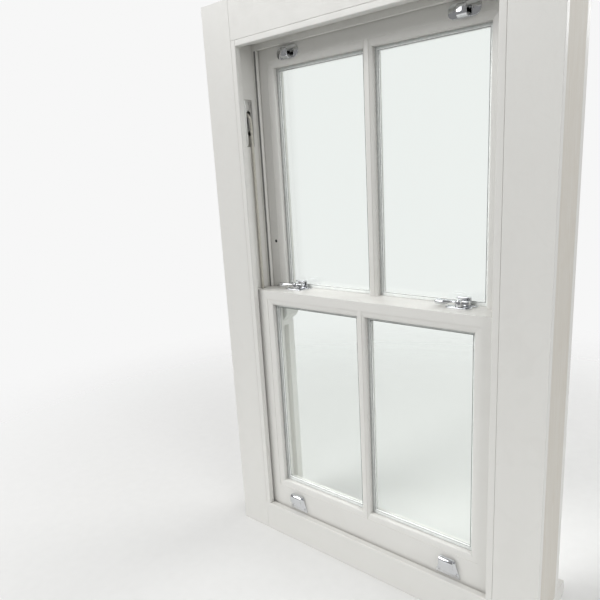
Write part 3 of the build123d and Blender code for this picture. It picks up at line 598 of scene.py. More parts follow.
@dataclass(frozen=True)
class Dull:
    """A plain matt stuff, such as sealant, butyl or pile, with its own fine unevenness.

    Attributes:
        name: the material's name.
        colour: its lighter tone.
        shade: its darker tone.
        roughness: its mean roughness.
        scale: how close the unevenness is.
        depth: how deep the unevenness is, in metres.
    """

    name: str
    colour: Rgb
    shade: Rgb
    roughness: float = 0.45
    scale: float = 600.0
    depth: float = 0.0001

    def material(self) -> Material:
        """Make the matt stuff.

        Returns:
            The material.
        """
        look = Surface(self.name)
        uneven = look.use(unevenness(), Scale=self.scale)
        return look.dress({
            "Base Color": look.mix(uneven["Tone"], self.shade, self.colour),
            "Roughness": look.between(uneven["Tone"], self.roughness - 0.08, self.roughness + 0.1),
            "Normal": look.bump(uneven["Height"], self.depth, 0.8),
        })


@dataclass(frozen=True)
class Braid:
    """Waxed braided cord, patterned by its own winding: U once round, V in metres along.

    Attributes:
        clean: the strands' colour.
        creases: the colour of the painted shade between the strands.
        strands: how many strands wind each way.
        pitch: how far along one strand takes to move to the next one's place.
    """

    clean: Rgb = (0.80, 0.78, 0.70)
    creases: Rgb = (0.40, 0.37, 0.30)
    strands: float = 8.0
    pitch: float = 0.011

    def material(self, winding: Winding) -> Material:
        """Make the braid.

        Args:
            winding: what its pattern is measured along.

        Returns:
            The material.
        """
        look = Surface(f"braided_cord_{winding.value}")
        turns = look.add("TexCoord").outputs["UV"]
        around = look.math("MULTIPLY", look.axis(turns, "X"), self.strands)
        length = look.axis(turns, "Y") if winding is Winding.LENGTH else look.axis(look.place, "Z")
        along = look.math("DIVIDE", length, self.pitch)
        lift = look.use(weave(), Around=around, Along=along)["Height"]
        relief = look.plus(lift, (look.noise(look.place, 2500.0, 2.0), 0.15))
        # The low parts of the weave are darkened towards the creases colour, a painted shade between the
        # strands.
        return look.dress({
            "Base Color": look.mix(look.ramp(lift, 0.05, 0.6), self.creases, self.clean),
            "Roughness": 0.75,
            "Sheen Weight": 0.25,
            "Normal": look.bump(relief, 0.0005, 0.9),
        })


def made(finish: Any, *options: Enum) -> Any:
    """A dataclass field that holds a finish's material, made with some options."""
    return field(default_factory=lambda: finish.material(*options))


@dataclass
class Finishes:
    """Every material of the window, made once."""

    across: Material = made(Paint(), Run.ACROSS)
    upright: Material = made(Paint(), Run.UPRIGHT)
    primed_across: Material = made(Primer(), Run.ACROSS)
    primed: Material = made(Primer(), Run.UPRIGHT)
    softwood: Material = made(Softwood())
    glass: Material = made(Pane())
    chrome: Material = made(Metal("polished_chrome", (0.72, 0.73, 0.75), (0.56, 0.57, 0.60), (0.055, 0.15)))
    nickel: Material = made(Metal("satin_nickel", (0.66, 0.655, 0.64), (0.52, 0.515, 0.50), (0.30, 0.42),
                                  dulled=0.4))
    iron: Material = made(Metal("cast_iron", (0.09, 0.085, 0.08), (0.22, 0.10, 0.05), (0.55, 0.8),
                                metallic=0.6, peel=0.0005, peel_scale=160.0, dulled=0.8))
    recess: Material = made(Dull("shadowed_recess", (0.05, 0.05, 0.055), (0.02, 0.02, 0.02), 0.5))
    spacer: Material = made(Dull("spacer_bar", (0.80, 0.80, 0.79), (0.70, 0.70, 0.69), 0.38, 240.0, 0.00004))
    butyl: Material = made(Dull("butyl_seal", (0.045, 0.045, 0.05), (0.02, 0.02, 0.025)))
    sealant: Material = made(Dull("glazing_sealant", (0.74, 0.73, 0.70), (0.60, 0.59, 0.56), scale=300.0))
    pile: Material = made(Dull("brush_pile", (0.30, 0.295, 0.285), (0.10, 0.10, 0.10), 0.85, 2500.0, 0.0006))
    cord_run: Material = made(Braid(), Winding.HEIGHT)
    cord_turn: Material = made(Braid(), Winding.LENGTH)

    @property
    def plated(self) -> list[Material]:
        """Polished plate, and the shadow in its screws."""
        return [self.chrome, self.recess]

    @property
    def satin(self) -> list[Material]:
        """Satin plate, and the shadow in its screws."""
        return [self.nickel, self.recess]


def to_object(name: str, bm: BMesh, materials: Sequence[Material], crease: float = CREASE) -> Object:
    """Turn a finished bmesh into an object with creases where it turns sharply.

    Args:
        name: the piece's name.
        bm: the mesh, which is freed.
        materials: its surfaces by index.
        crease: the angle in degrees above which an edge shades sharp.

    Returns:
        The new object, linked to the scene.
    """
    bm.normal_update()
    for face in bm.faces:
        face.smooth = True
    for edge in bm.edges:
        edge.smooth = len(edge.link_faces) == 2 and edge.calc_face_angle(0.0) < math.radians(crease)
    mesh = bpy.data.meshes.new(name)
    bm.to_mesh(mesh)
    bm.free()
    for material in materials:
        mesh.materials.append(material)
    return linked(bpy.data.objects.new(name, mesh))


def linked(item: Object) -> Object:
    """Add an object to the scene and return it."""
    bpy.context.scene.collection.objects.link(item)
    return item


def settle(piece: Object, body: str | None, slot: str, *stands_for: str) -> None:
    """Put a piece on its body if it rides on one, and in place of its CAD nodes.

    Args:
        piece: the piece.
        body: the body it rides on, or None for a piece on no body.
        slot: the record's material slot; not used.
        *stands_for: the CAD nodes it stands for.
    """
    if body is not None:
        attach(piece, body)
    if stands_for:
        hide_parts(*stands_for)


def turned(count: int) -> list[float]:
    """The angles that divide a full turn evenly."""
    return [math.tau * index / count for index in range(count)]


def circle(radius: float, count: int) -> Outline:
    """Points evenly round a circle about the origin."""
    return [(radius * math.cos(angle), radius * math.sin(angle)) for angle in turned(count)]


def quarter_round(radius: float) -> Outline:
    """(inset, height) points round an arris, from its side to its front."""
    angles = [math.pi / 2 * step / ARC_STEPS for step in range(ARC_STEPS + 1)]
    return [(radius * (1 - math.cos(angle)), radius * math.sin(angle)) for angle in angles]


def taken_off(distance: float, radius: float) -> float:
    """How much a rounded corner takes off at a distance from its end."""
    return radius - math.sqrt(radius ** 2 - (radius - distance) ** 2) if distance < radius else 0.0


def rounded(corners: Sequence[tuple[float, float, float]], closed: bool = True) -> Outline:
    """Draw a line through corners, each rounded to its own radius.

    Args:
        corners: (x, y, radius) of each corner.
        closed: whether the last corner leads back to the first.

    Returns:
        The points of the line.
    """
    points: Outline = []
    count = len(corners)
    for index, (x, y, radius) in enumerate(corners):
        corner = Vector((x, y))
        if radius < TINY or (not closed and index in (0, count - 1)):
            points.append((x, y))
            continue
        to_before = (Vector(corners[index - 1][:2]) - corner).normalized()
        to_after = (Vector(corners[(index + 1) % count][:2]) - corner).normalized()
        half = to_before.angle(to_after) / 2
        middle = corner + (to_before + to_after).normalized() * radius / math.sin(half)
        start = corner + to_before * radius / math.tan(half) - middle
        turn = start.angle_signed(corner + to_after * radius / math.tan(half) - middle)
        steps = max(3, round(abs(turn) / FACET))
        for step in range(steps + 1):
            arm = start.copy()
            arm.rotate(Matrix.Rotation(-turn * step / steps, 2))
            points.append(tuple(middle + arm))
    return points


def box_outline(width: float, height: float, radius: float) -> Outline:
    """A rectangle about the origin with rounded corners, anticlockwise."""
    x, y = width / 2, height / 2
    return rounded([(x, -y, radius), (x, y, radius), (-x, y, radius), (-x, -y, radius)])


def offset(outline: Outline, inset: float) -> Outline:
    """Move an anticlockwise outline inwards.

    Args:
        outline: its points.
        inset: how far, or less than 0 to move it outwards.

    Returns:
        The points of the new outline.
    """
    shifted = []
    count = len(outline)
    for index in range(count):
        before, here, after = (Vector(outline[(index + step) % count]) for step in (-1, 0, 1))
        first, second = (here - before).normalized(), (after - here).normalized()
        inward = Vector((-first.y - second.y, first.x + second.x))
        shifted.append(tuple(here + inward * inset / (1 + first.dot(second))))
    return shifted


def facing(origin: Point, outward: Point, up: Point) -> Matrix:
    """The place of a shape whose z points outward and whose y points up."""
    out, top = Vector(outward), Vector(up)
    return Matrix.Translation(origin) @ Matrix((top.cross(out), top, out)).transposed().to_4x4()


def moved(x: float, y: float, z: float, turn: float = 0.0) -> Matrix:
    """A shift of what is first turned about z."""
    return Matrix.Translation((x, y, z)) @ Matrix.Rotation(turn, 4, "Z")


class Path:
    """A line of points in a plane, walked by distance."""

    def __init__(self, corners: Sequence[tuple[float, float, float]]) -> None:
        """Measure an open line.

        Args:
            corners: (x, y, radius) of each corner.
        """
        self.points = rounded(corners, closed=False)
        self.marks = [0.0]
        for first, second in zip(self.points, self.points[1:]):
            self.marks.append(self.marks[-1] + math.dist(first, second))
        self.length = self.marks[-1]

    def at(self, distance: float) -> tuple[tuple[float, float], tuple[float, float]]:
        """Find where the line is at a distance along it.

        Args:
            distance: how far along.

        Returns:
            The point, and the unit normal to the left of the line there.
        """
        index = max(i for i, mark in enumerate(self.marks[:-1]) if mark <= distance + TINY)
        share = (distance - self.marks[index]) / (self.marks[index + 1] - self.marks[index])
        (x0, y0), (x1, y1) = self.points[index], self.points[index + 1]
        ahead = self._ahead(index)
        if share < TINY and index:
            before = self._ahead(index - 1)
            ahead = (ahead[0] + before[0], ahead[1] + before[1])
        size = math.hypot(*ahead)
        return (x0 + (x1 - x0) * share, y0 + (y1 - y0) * share), (-ahead[1] / size, ahead[0] / size)

    def _ahead(self, index: int) -> tuple[float, float]:
        """Tell which way one stretch of the line leads.

        Args:
            index: the stretch's number.

        Returns:
            Its unit direction.
        """
        start, end = self.points[index], self.points[index + 1]
        size = math.dist(start, end)
        return (end[0] - start[0]) / size, (end[1] - start[1]) / size

    def stops(self, arris: float) -> list[float]:
        """Tell where to cut the line: at every point, evenly between, and more closely at both ends.

        Args:
            arris: how far the ends are rounded.

        Returns:
            The distances in order.
        """
        count = 18
        spread = [self.length * index / count for index in range(count + 1)]
        near = [arris * share for share in (0.1, 0.35, 0.7, 1.0)]
        near += [MM * step for step in (0.8, 1.3, 2.0, 3.0, 4.0, 5.0)]
        kept = [0.0]
        least = 0.04 * MM
        for stop in sorted(self.marks + spread + near + [self.length - step for step in near]):
            if stop - kept[-1] > least and self.length - stop > least:
                kept.append(stop)
        return kept + [self.length]


@dataclass(frozen=True)
class Opening:
    """An upright rectangle, as the sight lines round a pane."""

    left: float
    right: float
    low: float
    high: float

    def drawn_in(self, by: float) -> "Opening":
        """The opening made smaller all round."""
        return Opening(self.left + by, self.right - by, self.low + by, self.high - by)


class Shape:
    """A mesh under construction in its own frame: x to the right, y up, z outwards.

    Attributes:
        bm: the mesh so far.
        surface: the material index that new faces take.
    """

    def __init__(self) -> None:
        """Start with an empty mesh and the first material."""
        self.bm = bmesh.new()
        self.surface = 0

    def ring(self, points: Iterable[Point]) -> list[BMVert]:
        """New vertices at some points."""
        return [self.bm.verts.new(point) for point in points]

    def face(self, corners: Iterable[BMVert]) -> BMFace | None:
        """Add a face over its different corners.

        Args:
            corners: the corners, any of which may repeat.

        Returns:
            The face, or None where fewer than three differ.
        """
        different = list(dict.fromkeys(corners))
        if len(different) < 3:
            return None
        face = self.bm.faces.new(different)
        face.material_index = self.surface
        return face

    def skin(self, rings: Sequence[Sequence[BMVert]], closed: bool = False, capped: bool = False) -> None:
        """Add faces between neighbouring rings.

        Args:
            rings: vertex rings of equal length, or single vertices that close an end.
            closed: whether the last ring also joins the first.
            capped: whether flat faces close the first and the last ring.
        """
        following = [*rings[1:], rings[0]] if closed else rings[1:]
        for first, second in zip(rings, following):
            for index in range(max(len(first), len(second))):
                after = index + 1
                self.face((first[index % len(first)], first[after % len(first)],
                           second[after % len(second)], second[index % len(second)]))
        if capped:
            self.fill(rings[0])
            self.fill(rings[-1])

    def fill(self, *rings: Sequence[BMVert]) -> None:
        """Add a flat face inside a ring.

        Args:
            *rings: the ring, then any rings that are left open in it.
        """
        edges = []
        for ring in rings:
            for index, vert in enumerate(ring):
                ends = (vert, ring[(index + 1) % len(ring)])
                edges.append(self.bm.edges.get(ends) or self.bm.edges.new(ends))
        for item in bmesh.ops.triangle_fill(self.bm, edges=edges, use_beauty=True)["geom"]:
            if isinstance(item, BMFace):
                item.material_index = self.surface

    def lathe(self, profile: Outline, segments: int = 24, closed: bool = False) -> "Shape":
        """Turn a profile about the z axis.

        Args:
            profile: (radius, height) points, where radius 0 closes an end.
            segments: facets round the axis.
            closed: whether the profile is a loop clear of the axis.

        Returns:
            This shape.
        """
        self.skin([self.ring((x, y, height) for x, y in circle(radius, segments if radius > TINY else 1))
                   for radius, height in profile], closed)
        return self

    def slab(self, outline: Outline, thick: float, arris: float, hole: Outline | None = None) -> "Shape":
        """Lay a plate on z = 0 with a rounded front arris.

        Args:
            outline: its edge, anticlockwise.
            thick: its thickness.
            arris: how far its front edges are rounded.
            hole: the edge of its hole if it has one, anticlockwise.

        Returns:
            This shape.
        """
        rings = [self.ring((x, y, 0.0) for x, y in outline)]
        for inset, height in quarter_round(arris):
            rings.append(self.ring((x, y, thick - arris + height) for x, y in offset(outline, inset)))
        self.skin(rings)
        fronts, backs = [rings[-1]], [rings[0]]
        if hole:
            walls = [self.ring((x, y, height) for x, y in line) for line, height in
                     ((offset(hole, -arris), thick), (hole, thick - arris), (hole, 0.0))]
            self.skin(walls)
            fronts.append(walls[0])
            backs.append(walls[-1])
        self.fill(*fronts)
        self.fill(*backs)
        return self

    def strip(self, path: Path, half_width: Callable[[float], float], thick: float, arris: float) -> "Shape":
        """Bend a strip of sheet, its width along x.

        Args:
            path: its middle line in the (y, z) plane.
            half_width: half its width by the distance along the path.
            thick: its thickness.
            arris: how far its edges are rounded.

        Returns:
            This shape.
        """
        rings = []
        for distance in path.stops(arris):
            (y, z), (out_y, out_z) = path.at(distance)
            taken = taken_off(min(distance, path.length - distance), arris)
            half_thick = thick / 2 - taken
            width = half_width(distance) - taken
            corner = min(arris, half_thick) * 0.98
            points = []
            for quarter, step in product(range(4), range(ARC_STEPS + 1)):
                across = (width - corner) * (1 if quarter in (0, 3) else -1)
                through = (half_thick - corner) * (1 if quarter in (0, 1) else -1)
                angle = math.pi / 2 * (quarter + step / ARC_STEPS)
                out = through + corner * math.sin(angle)
                points.append((across + corner * math.cos(angle), y + out_y * out, z + out_z * out))
            rings.append(self.ring(points))
        self.skin(rings, capped=True)
        return self

    def rim(self, opening: Opening, section: Outline) -> None:
        """Add a closed frame round an opening.

        Args:
            opening: the sight lines.
            section: the frame's section as (inwards from the sight line, y).
        """
        rings = []
        for inset, y in section:
            inner = opening.drawn_in(inset)
            rings.append(self.ring(((inner.left, y, inner.low), (inner.right, y, inner.low),
                                    (inner.right, y, inner.high), (inner.left, y, inner.high))))
        self.skin(rings, closed=True)

    def tube(self, points: Sequence[Vector], radius: float, sides: int = 16) -> None:
        """Add a round cord, with its winding as UVs: U once round, V in metres along.

        Args:
            points: its middle line.
            radius: its radius.
            sides: facets round it.
        """
        winding = self.bm.loops.layers.uv.verify()
        across = (points[1] - points[0]).normalized().orthogonal().normalized()
        rings, distances = [], [0.0]
        for index, point in enumerate(points):
            before, after = points[max(index - 1, 0)], points[min(index + 1, len(points) - 1)]
            ahead = (after - before).normalized()
            across = (across - ahead * across.dot(ahead)).normalized()
            other = ahead.cross(across)
            rings.append(self.ring(point + radius * (across * x + other * y) for x, y in circle(1.0, sides)))
            if index:
                distances.append(distances[-1] + (point - before).length)
        for (index, (first, second)), side in product(enumerate(zip(rings, rings[1:])), range(sides)):
            after = (side + 1) % sides
            face = self.face((first[side], first[after], second[after], second[side]))
            corners = ((side, index), (side + 1, index), (side + 1, index + 1), (side, index + 1))
            for loop, (turn, stop) in zip(face.loops, corners):
                loop[winding].uv = (turn / sides, distances[stop])
        self.face(rings[0])
        self.face(rings[-1])

    def stamp(self, other: "Shape", *places: Matrix) -> "Shape":
        """Copy another shape to some places.

        Args:
            other: the shape.
            *places: where each copy goes.

        Returns:
            This shape.
        """
        mesh = bpy.data.meshes.new("template")
        other.bm.to_mesh(mesh)
        for place in places:
            copy = mesh.copy()
            copy.transform(place)
            self.bm.from_mesh(copy)
            bpy.data.meshes.remove(copy)
        bpy.data.meshes.remove(mesh)
        return self

    def piece(self, name: str, body: str | None, slot: str, materials: Sequence[Material], *stands_for: str,
              crease: float = CREASE) -> Object:
        """Finish the mesh as a piece of the model.

        Args:
            name: the piece's name.
            body: the body it rides on, or None for a piece on no body.
            slot: the record's material slot.
            materials: its surfaces by index.
            *stands_for: the CAD nodes it stands for.
            crease: the angle in degrees above which an edge shades sharp.

        Returns:
            The new piece.
        """
        bmesh.ops.recalc_face_normals(self.bm, faces=self.bm.faces)
        piece = to_object(name, self.bm, materials, crease)
        settle(piece, body, slot, *stands_for)
        return piece


@dataclass(frozen=True)
class Screw:
    """A countersunk screw head with a cross recess.

    Attributes:
        radius: the head's radius.
        rise: how far the oval head stands proud.
    """

    radius: float = 3.4 * MM
    rise: float = 0.55 * MM

    def shape(self) -> Shape:
        """Make the head on z = 0.

        Returns:
            The head, with surface 1 inside its recess, which takes painted shade.
        """
        head = Shape()
        arm, reach, depth = self.radius * 0.12, self.radius * 0.5, self.radius * 0.24
        cross = []
        for turn, (x, y) in product(range(4), ((reach, -arm), (reach, arm), (arm, arm))):
            cos, sin = math.cos(math.pi / 2 * turn), math.sin(math.pi / 2 * turn)
            cross.append((x * cos - y * sin, x * sin + y * cos))
        levels = ((1.0, -0.2 * MM), (1.0, 0.12 * MM), (0.9, 0.5 * self.rise), (0.68, self.rise))
        rings = [head.ring((x, y, height) for x, y in circle(self.radius * share, 24))
                 for share, height in levels]
        head.skin(rings)
        head.fill(rings[0])
        mouth = head.ring((x, y, self.rise) for x, y in cross)
        head.fill(rings[-1], mouth)
        head.surface = 1
        bottom = head.ring((x * 0.8, y * 0.8, self.rise - depth) for x, y in cross)
        head.skin([mouth, bottom])
        head.fill(bottom)
        return head


@dataclass(frozen=True)
class Layout:
    """Places that several sub-assemblies share, read from the CAD nodes.

    Attributes:
        stile_x: the face of the right pulley stile.
        bead_x: the edge of the right staff bead.
        soffit_z: the underside of the head.
        rail_z: the top of the meeting rails.
        wheels: the centre of each sash's right wheel.
        faces: each sash's room face, as y.
    """

    stile_x: float
    bead_x: float
    soffit_z: float
    rail_z: float
    wheels: dict[str, Vector]
    faces: dict[str, float]

    @classmethod
    def read(cls) -> "Layout":
        """Measure the CAD nodes.

        Returns:
            The layout.
        """
        return cls(
            stile_x=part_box("pulley_stile_right")[0].x,
            bead_x=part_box("staff_bead_right")[0].x,
            soffit_z=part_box("head")[0].z,
            rail_z=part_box("fastener_bases")[0].z,
            wheels={sash: sum(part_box(f"{sash}_pulley_right"), Vector()) / 2 for sash in SASHES},
            faces={sash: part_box(f"{sash}_stile_right")[0].y for sash in SASHES},
        )

    def wheel(self, sash: str, side: Side) -> Vector:
        """The centre of one wheel."""
        return self.wheels[sash] * Vector((side, 1, 1))


@dataclass
class Assembly(ABC):
    """A sub-assembly of the window.

    Attributes:
        finishes: the materials.
        layout: shared places.
    """

    finishes: Finishes
    layout: Layout

    @abstractmethod
    def build(self) -> None:
        """Make its pieces and dress them."""


@dataclass(frozen=True)
class Dressing:
    """How a timber member differs from plain paint all over.

    Attributes:
        cuts: (axis, place) planes that its faces are divided along, where an arris or the paint ends.
        behind: the direction of its back.
        stile_x: how far from the middle the boxes begin.
        soffit_z: the height at which the space over the head begins.
        back: what its back shows inside the boxes and over the head.
        bare: whether it isn't painted at all.
    """

    cuts: Sequence[tuple[int, float]] = ()
    behind: Point | None = None
    stile_x: float = 0.0
    soffit_z: float = 0.0
    back: Material | None = None
    bare: bool = False

    def divide(self, bm: BMesh) -> None:
        """Cut the faces along the planes.

        Args:
            bm: the member's mesh.
        """
        for axis, place in self.cuts:
            normal = Vector(float(index == axis) for index in range(3))
            everything = [*bm.verts, *bm.edges, *bm.faces]
            bmesh.ops.bisect_plane(bm, geom=everything, dist=WELD, plane_co=normal * place, plane_no=normal)

    def prime(self, bm: BMesh) -> None:
        """Give the faces of its back the second material, where the window hides them.

        Args:
            bm: the member's mesh.
        """
        for face in bm.faces if self.behind else ():
            middle = face.calc_center_median()
            boxed = abs(middle.x) > self.stile_x or middle.z > self.soffit_z
            if boxed and face.normal.dot(Vector(self.behind)) > 0.9:
                face.material_index = 1


@dataclass
class Joinery(Assembly):
    """The painted and bare timber of the frame and the two sashes.

    Attributes:
        arris: how far the painted arrises are rounded.
        bare_arris: how far the bare ones are.
        scribe: from a spacer's outer edge to a cut just inside the sight line, on the glazing bars.
        rail_scribe: from a spacer's outer edge to a cut where the rails' scribed ends begin to thin.
    """

    arris: float = 1.1 * MM
    bare_arris: float = 0.5 * MM
    scribe: float = 7.5 * MM
    rail_scribe: float = 2.1 * MM

    def build(self) -> None:
        """Ease every timber member of the frame and both sashes."""
        across, upright = self.finishes.across, self.finishes.upright
        bare = Dressing(bare=True)
        for side in Side:
            self.lining(f"inner_lining_{side.word}", upright, OUT)
            self.lining(f"outer_lining_{side.word}", upright, ROOM)
            self.lining(f"pulley_stile_{side.word}", upright, (float(side), 0.0, 0.0))
            beads = [f"{name}_{side.word}" for name in ("parting_bead", "staff_bead", "pocket_piece")]
            self.members(beads, upright)
            self.members([f"back_lining_{side.word}"], self.finishes.primed, dressing=bare)
            self.members([f"wagtail_{side.word}"], self.finishes.softwood, dressing=bare)
        self.lining("inner_lining_head", across, OUT)
        self.lining("outer_lining_head", across, ROOM)
        self.lining("head", across, UP)
        self.members(["sill", "bottom_bead", "parting_bead_head", "staff_bead_head"], across)
        for sash, outer_rail in zip(SASHES, ("bottom", "top")):
            body = sash + "_sash"
            low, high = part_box(f"{sash}_spacers")
            ends = Dressing(((2, low.z + self.scribe), (2, high.z - self.scribe)))
            thin_x = high.x - self.rail_scribe
            self.members([f"{sash}_stile_{side.word}" for side in Side], upright, body)
            self.members([f"{sash}_glazing_bar"], upright, body, ends)
            self.members([f"{sash}_{outer_rail}_rail", f"{sash}_meeting_rail"], across, body,
                         Dressing(((0, -thin_x), (0, thin_x))))
            self.members([f"{sash}_glazing_beads"], across, body)

    def lining(self, node: str, material: Material, behind: Point) -> None:
        """Ease a member that closes the boxes or the space over the head, whose back is only primed.

        Args:
            node: the CAD node.
            material: its paint.
            behind: the direction of its back.
        """
        stile_x, soffit_z = self.layout.stile_x, self.layout.soffit_z
        cuts = ((0, -stile_x), (0, stile_x), (2, soffit_z)) if node.startswith("outer") else ()
        primed = self.finishes.primed if material is self.finishes.upright else self.finishes.primed_across
        self.members([node], material, dressing=Dressing(cuts, behind, stile_x - MM, soffit_z - MM, primed))

    def members(self, nodes: Iterable[str], material: Material, body: str = "frame",
                dressing: Dressing = Dressing()) -> None:
        """Make CAD nodes' own shapes anew with their arrises rounded, standing for the nodes.

        Args:
            nodes: the CAD nodes.
            material: their surface.
            body: the body they ride on.
            dressing: how they differ from paint all over.
        """
        for node in nodes:
            bm = bmesh.new()
            bm.from_mesh(frame["nodes"][node].data)
            bmesh.ops.remove_doubles(bm, verts=bm.verts, dist=WELD)
            for shared in [vert for vert in bm.verts if not vert.is_manifold]:
                bmesh.utils.vert_separate(shared, [])
            bmesh.ops.dissolve_limit(bm, angle_limit=FLAT, verts=bm.verts, edges=bm.edges)
            dressing.divide(bm)
            self.ease(bm, self.bare_arris if dressing.bare else self.arris)
            dressing.prime(bm)
            piece = to_object(f"{node}_timber", bm, [material, dressing.back or material])
            piece.modifiers.new("weighted", "WEIGHTED_NORMAL").keep_sharp = True
            settle(piece, body, "bare_timber" if dressing.bare else "painted_timber", node)

    def ease(self, bm: BMesh, width: float) -> None:
        """Round the outer arrises of a mesh, wherever the faces beside them have room.

        Args:
            bm: the mesh.
            width: how far back from the arris the rounding starts.
        """
        limit = math.radians(CREASE)
        arrises = [edge for edge in bm.edges if len(edge.link_faces) == 2 and edge.is_convex
                   and edge.calc_face_angle(0.0) > limit and self.has_room(edge, width)]
        bmesh.ops.bevel(bm, geom=arrises, offset=width, segments=2, profile=0.5, affect="EDGES",
                        clamp_overlap=False)

    @staticmethod
    def has_room(edge: BMEdge, width: float) -> bool:
        """Tell whether the faces beside an edge have room to round it, all along and at both its ends.

        Args:
            edge: the edge, with a face on each side.
            width: how far back from it the rounding starts.

        Returns:
            Whether they have.
        """
        length = edge.calc_length()
        if length < 3 * width or min(face.calc_area() for face in edge.link_faces) < 2.2 * width * length:
            return False
        for loop in edge.link_loops:
            for turn, beside in ((loop.calc_angle(), loop.link_loop_prev.edge),
                                 (loop.link_loop_next.calc_angle(), loop.link_loop_next.edge)):
                feathered = turn < FEATHER
                runs_on = turn > STRAIGHT_ON
                if feathered or not runs_on and beside.calc_length() < 2.1 * width / math.sin(turn):
                    return False
        return True


@dataclass
class HookLifts(Assembly):
    """The two hook lifts on the bottom rail: a flared plate folded over into a finger hook.

    Attributes:
        plate_half: half the plate's width at its foot.
        hook_half: half the hook's width.
        height: the plate's height.
        reach: how far the hook stands from the rail.
        tongue: how far the hook hangs below its top.
        sheet: the metal's thickness.
        corner: the rounding of the free corners.
        screw_out: from the plate's middle to each screw.
        screw_up: from the plate's foot to the screws.
    """

    plate_half: float = 27 * MM
    hook_half: float = 15 * MM
    height: float = 44 * MM
    reach: float = 15 * MM
    tongue: float = 21 * MM
    sheet: float = 2 * MM
    corner: float = 5 * MM
    screw_out: float = 18.5 * MM
    screw_up: float = 7.5 * MM

    def build(self) -> None:
        """Make both lifts as one piece on the lower sash."""
        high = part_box("lower_lifts")[1]
        places = [facing((side * (high.x - self.plate_half), high.y, high.z), ROOM, UP) for side in Side]
        screws = [moved(side * self.screw_out, self.screw_up - self.height, self.sheet, 0.5 + 0.9 * side)
                  for side in Side]
        lifts = Shape().stamp(self.hook(), *places)
        lifts.stamp(Screw().shape(), *starmap(matmul, product(places, screws)))
        lifts.piece("hook_lifts", "lower_sash", "chrome", self.finishes.plated, "lower_lifts")

    def hook(self) -> Shape:
        """Make one lift.

        Returns:
            The lift against z = 0, its fold's top on y = 0.
        """
        half = self.sheet / 2
        radius = self.reach / 2 - half
        path = Path([(-self.height, half, 0.0), (-half, half, radius), (-half, self.reach - half, radius),
                     (-self.tongue, self.reach - half, 0.0)])
        flare = self.height - self.reach / 2
        spread = self.plate_half - self.hook_half

        def half_width(distance: float) -> float:
            """Half the strip's width: flared on the plate, with rounded corners at both ends."""
            width = self.hook_half + spread * max(0.0, 1 - distance / flare) ** 1.25
            return width - taken_off(min(distance, path.length - distance), self.corner)

        return Shape().strip(path, half_width, self.sheet, 0.6 * MM)


@dataclass
class HookPulls(Assembly):
    """The two winged hook pulls on the upper sash's top rail.

    Attributes:
        width: the plate's width.
        height: the plate's height.
        hook_half: half the hook's width.
        reach: how far the hook stands from the rail.
        tongue: how far the hook rises from its fold.
        tip: the rounding of the hook's tip.
        sheet: the metal's thickness.
        screw_out: from the plate's middle to each screw.
        screw_radius: the radius of its screws.
    """

    width: float = 58 * MM
    height: float = 26 * MM
    hook_half: float = 9 * MM
    reach: float = 14.5 * MM
    tongue: float = 22 * MM
    tip: float = 4.5 * MM
    sheet: float = 2 * MM
    screw_out: float = 17.6 * MM
    screw_radius: float = 3.1 * MM

    def build(self) -> None:
        """Make both pulls as one piece on the upper sash."""
        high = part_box("upper_pulls")[1]
        centre_x, centre_z = high.x - self.width / 2, high.z - self.height / 2
        places = [facing((side * centre_x, high.y, centre_z), ROOM, UP) for side in Side]
        screws = [moved(side * self.screw_out, 0.0, self.sheet, 1.1 - 0.6 * side) for side in Side]
        pulls = Shape().stamp(self.plate(), *places).stamp(self.hook(), *places)
        pulls.stamp(Screw(self.screw_radius).shape(), *starmap(matmul, product(places, screws)))
        pulls.piece("hook_pulls", "upper_sash", "chrome", self.finishes.plated, "upper_pulls")

    def plate(self) -> Shape:
        """Make the round-ended plate.

        Returns:
            The plate on z = 0, its upper edge drawn in a little between the wings.
        """
        half, end = self.width / 2, self.height / 2
        waist, bend, hollow = end - 1.2 * MM, 0.9 * end, 6 * MM
        corners = [(half, -end, bend), (half, end, bend), (self.hook_half, waist, hollow),
                   (-self.hook_half, waist, hollow), (-half, end, bend), (-half, -end, bend)]
        return Shape().slab(rounded(corners), self.sheet, 0.7 * MM)

    def hook(self) -> Shape:
        """Make the narrow tongue.

        Returns:
            The tongue, folded forwards and up from the plate's lower edge.
        """
        half = self.sheet / 2
        foot = -self.height / 2 + half
        radius = self.reach / 2 - half
        path = Path([(2 * MM, half, 0.0), (foot, half, radius), (foot, self.reach - half, radius),
                     (foot - half + self.tongue, self.reach - half, 0.0)])

        def half_width(distance: float) -> float:
            """Half the tongue's width, rounded at its tip."""
            return self.hook_half - taken_off(path.length - distance, self.tip)

        return Shape().strip(path, half_width, self.sheet, 0.6 * MM)


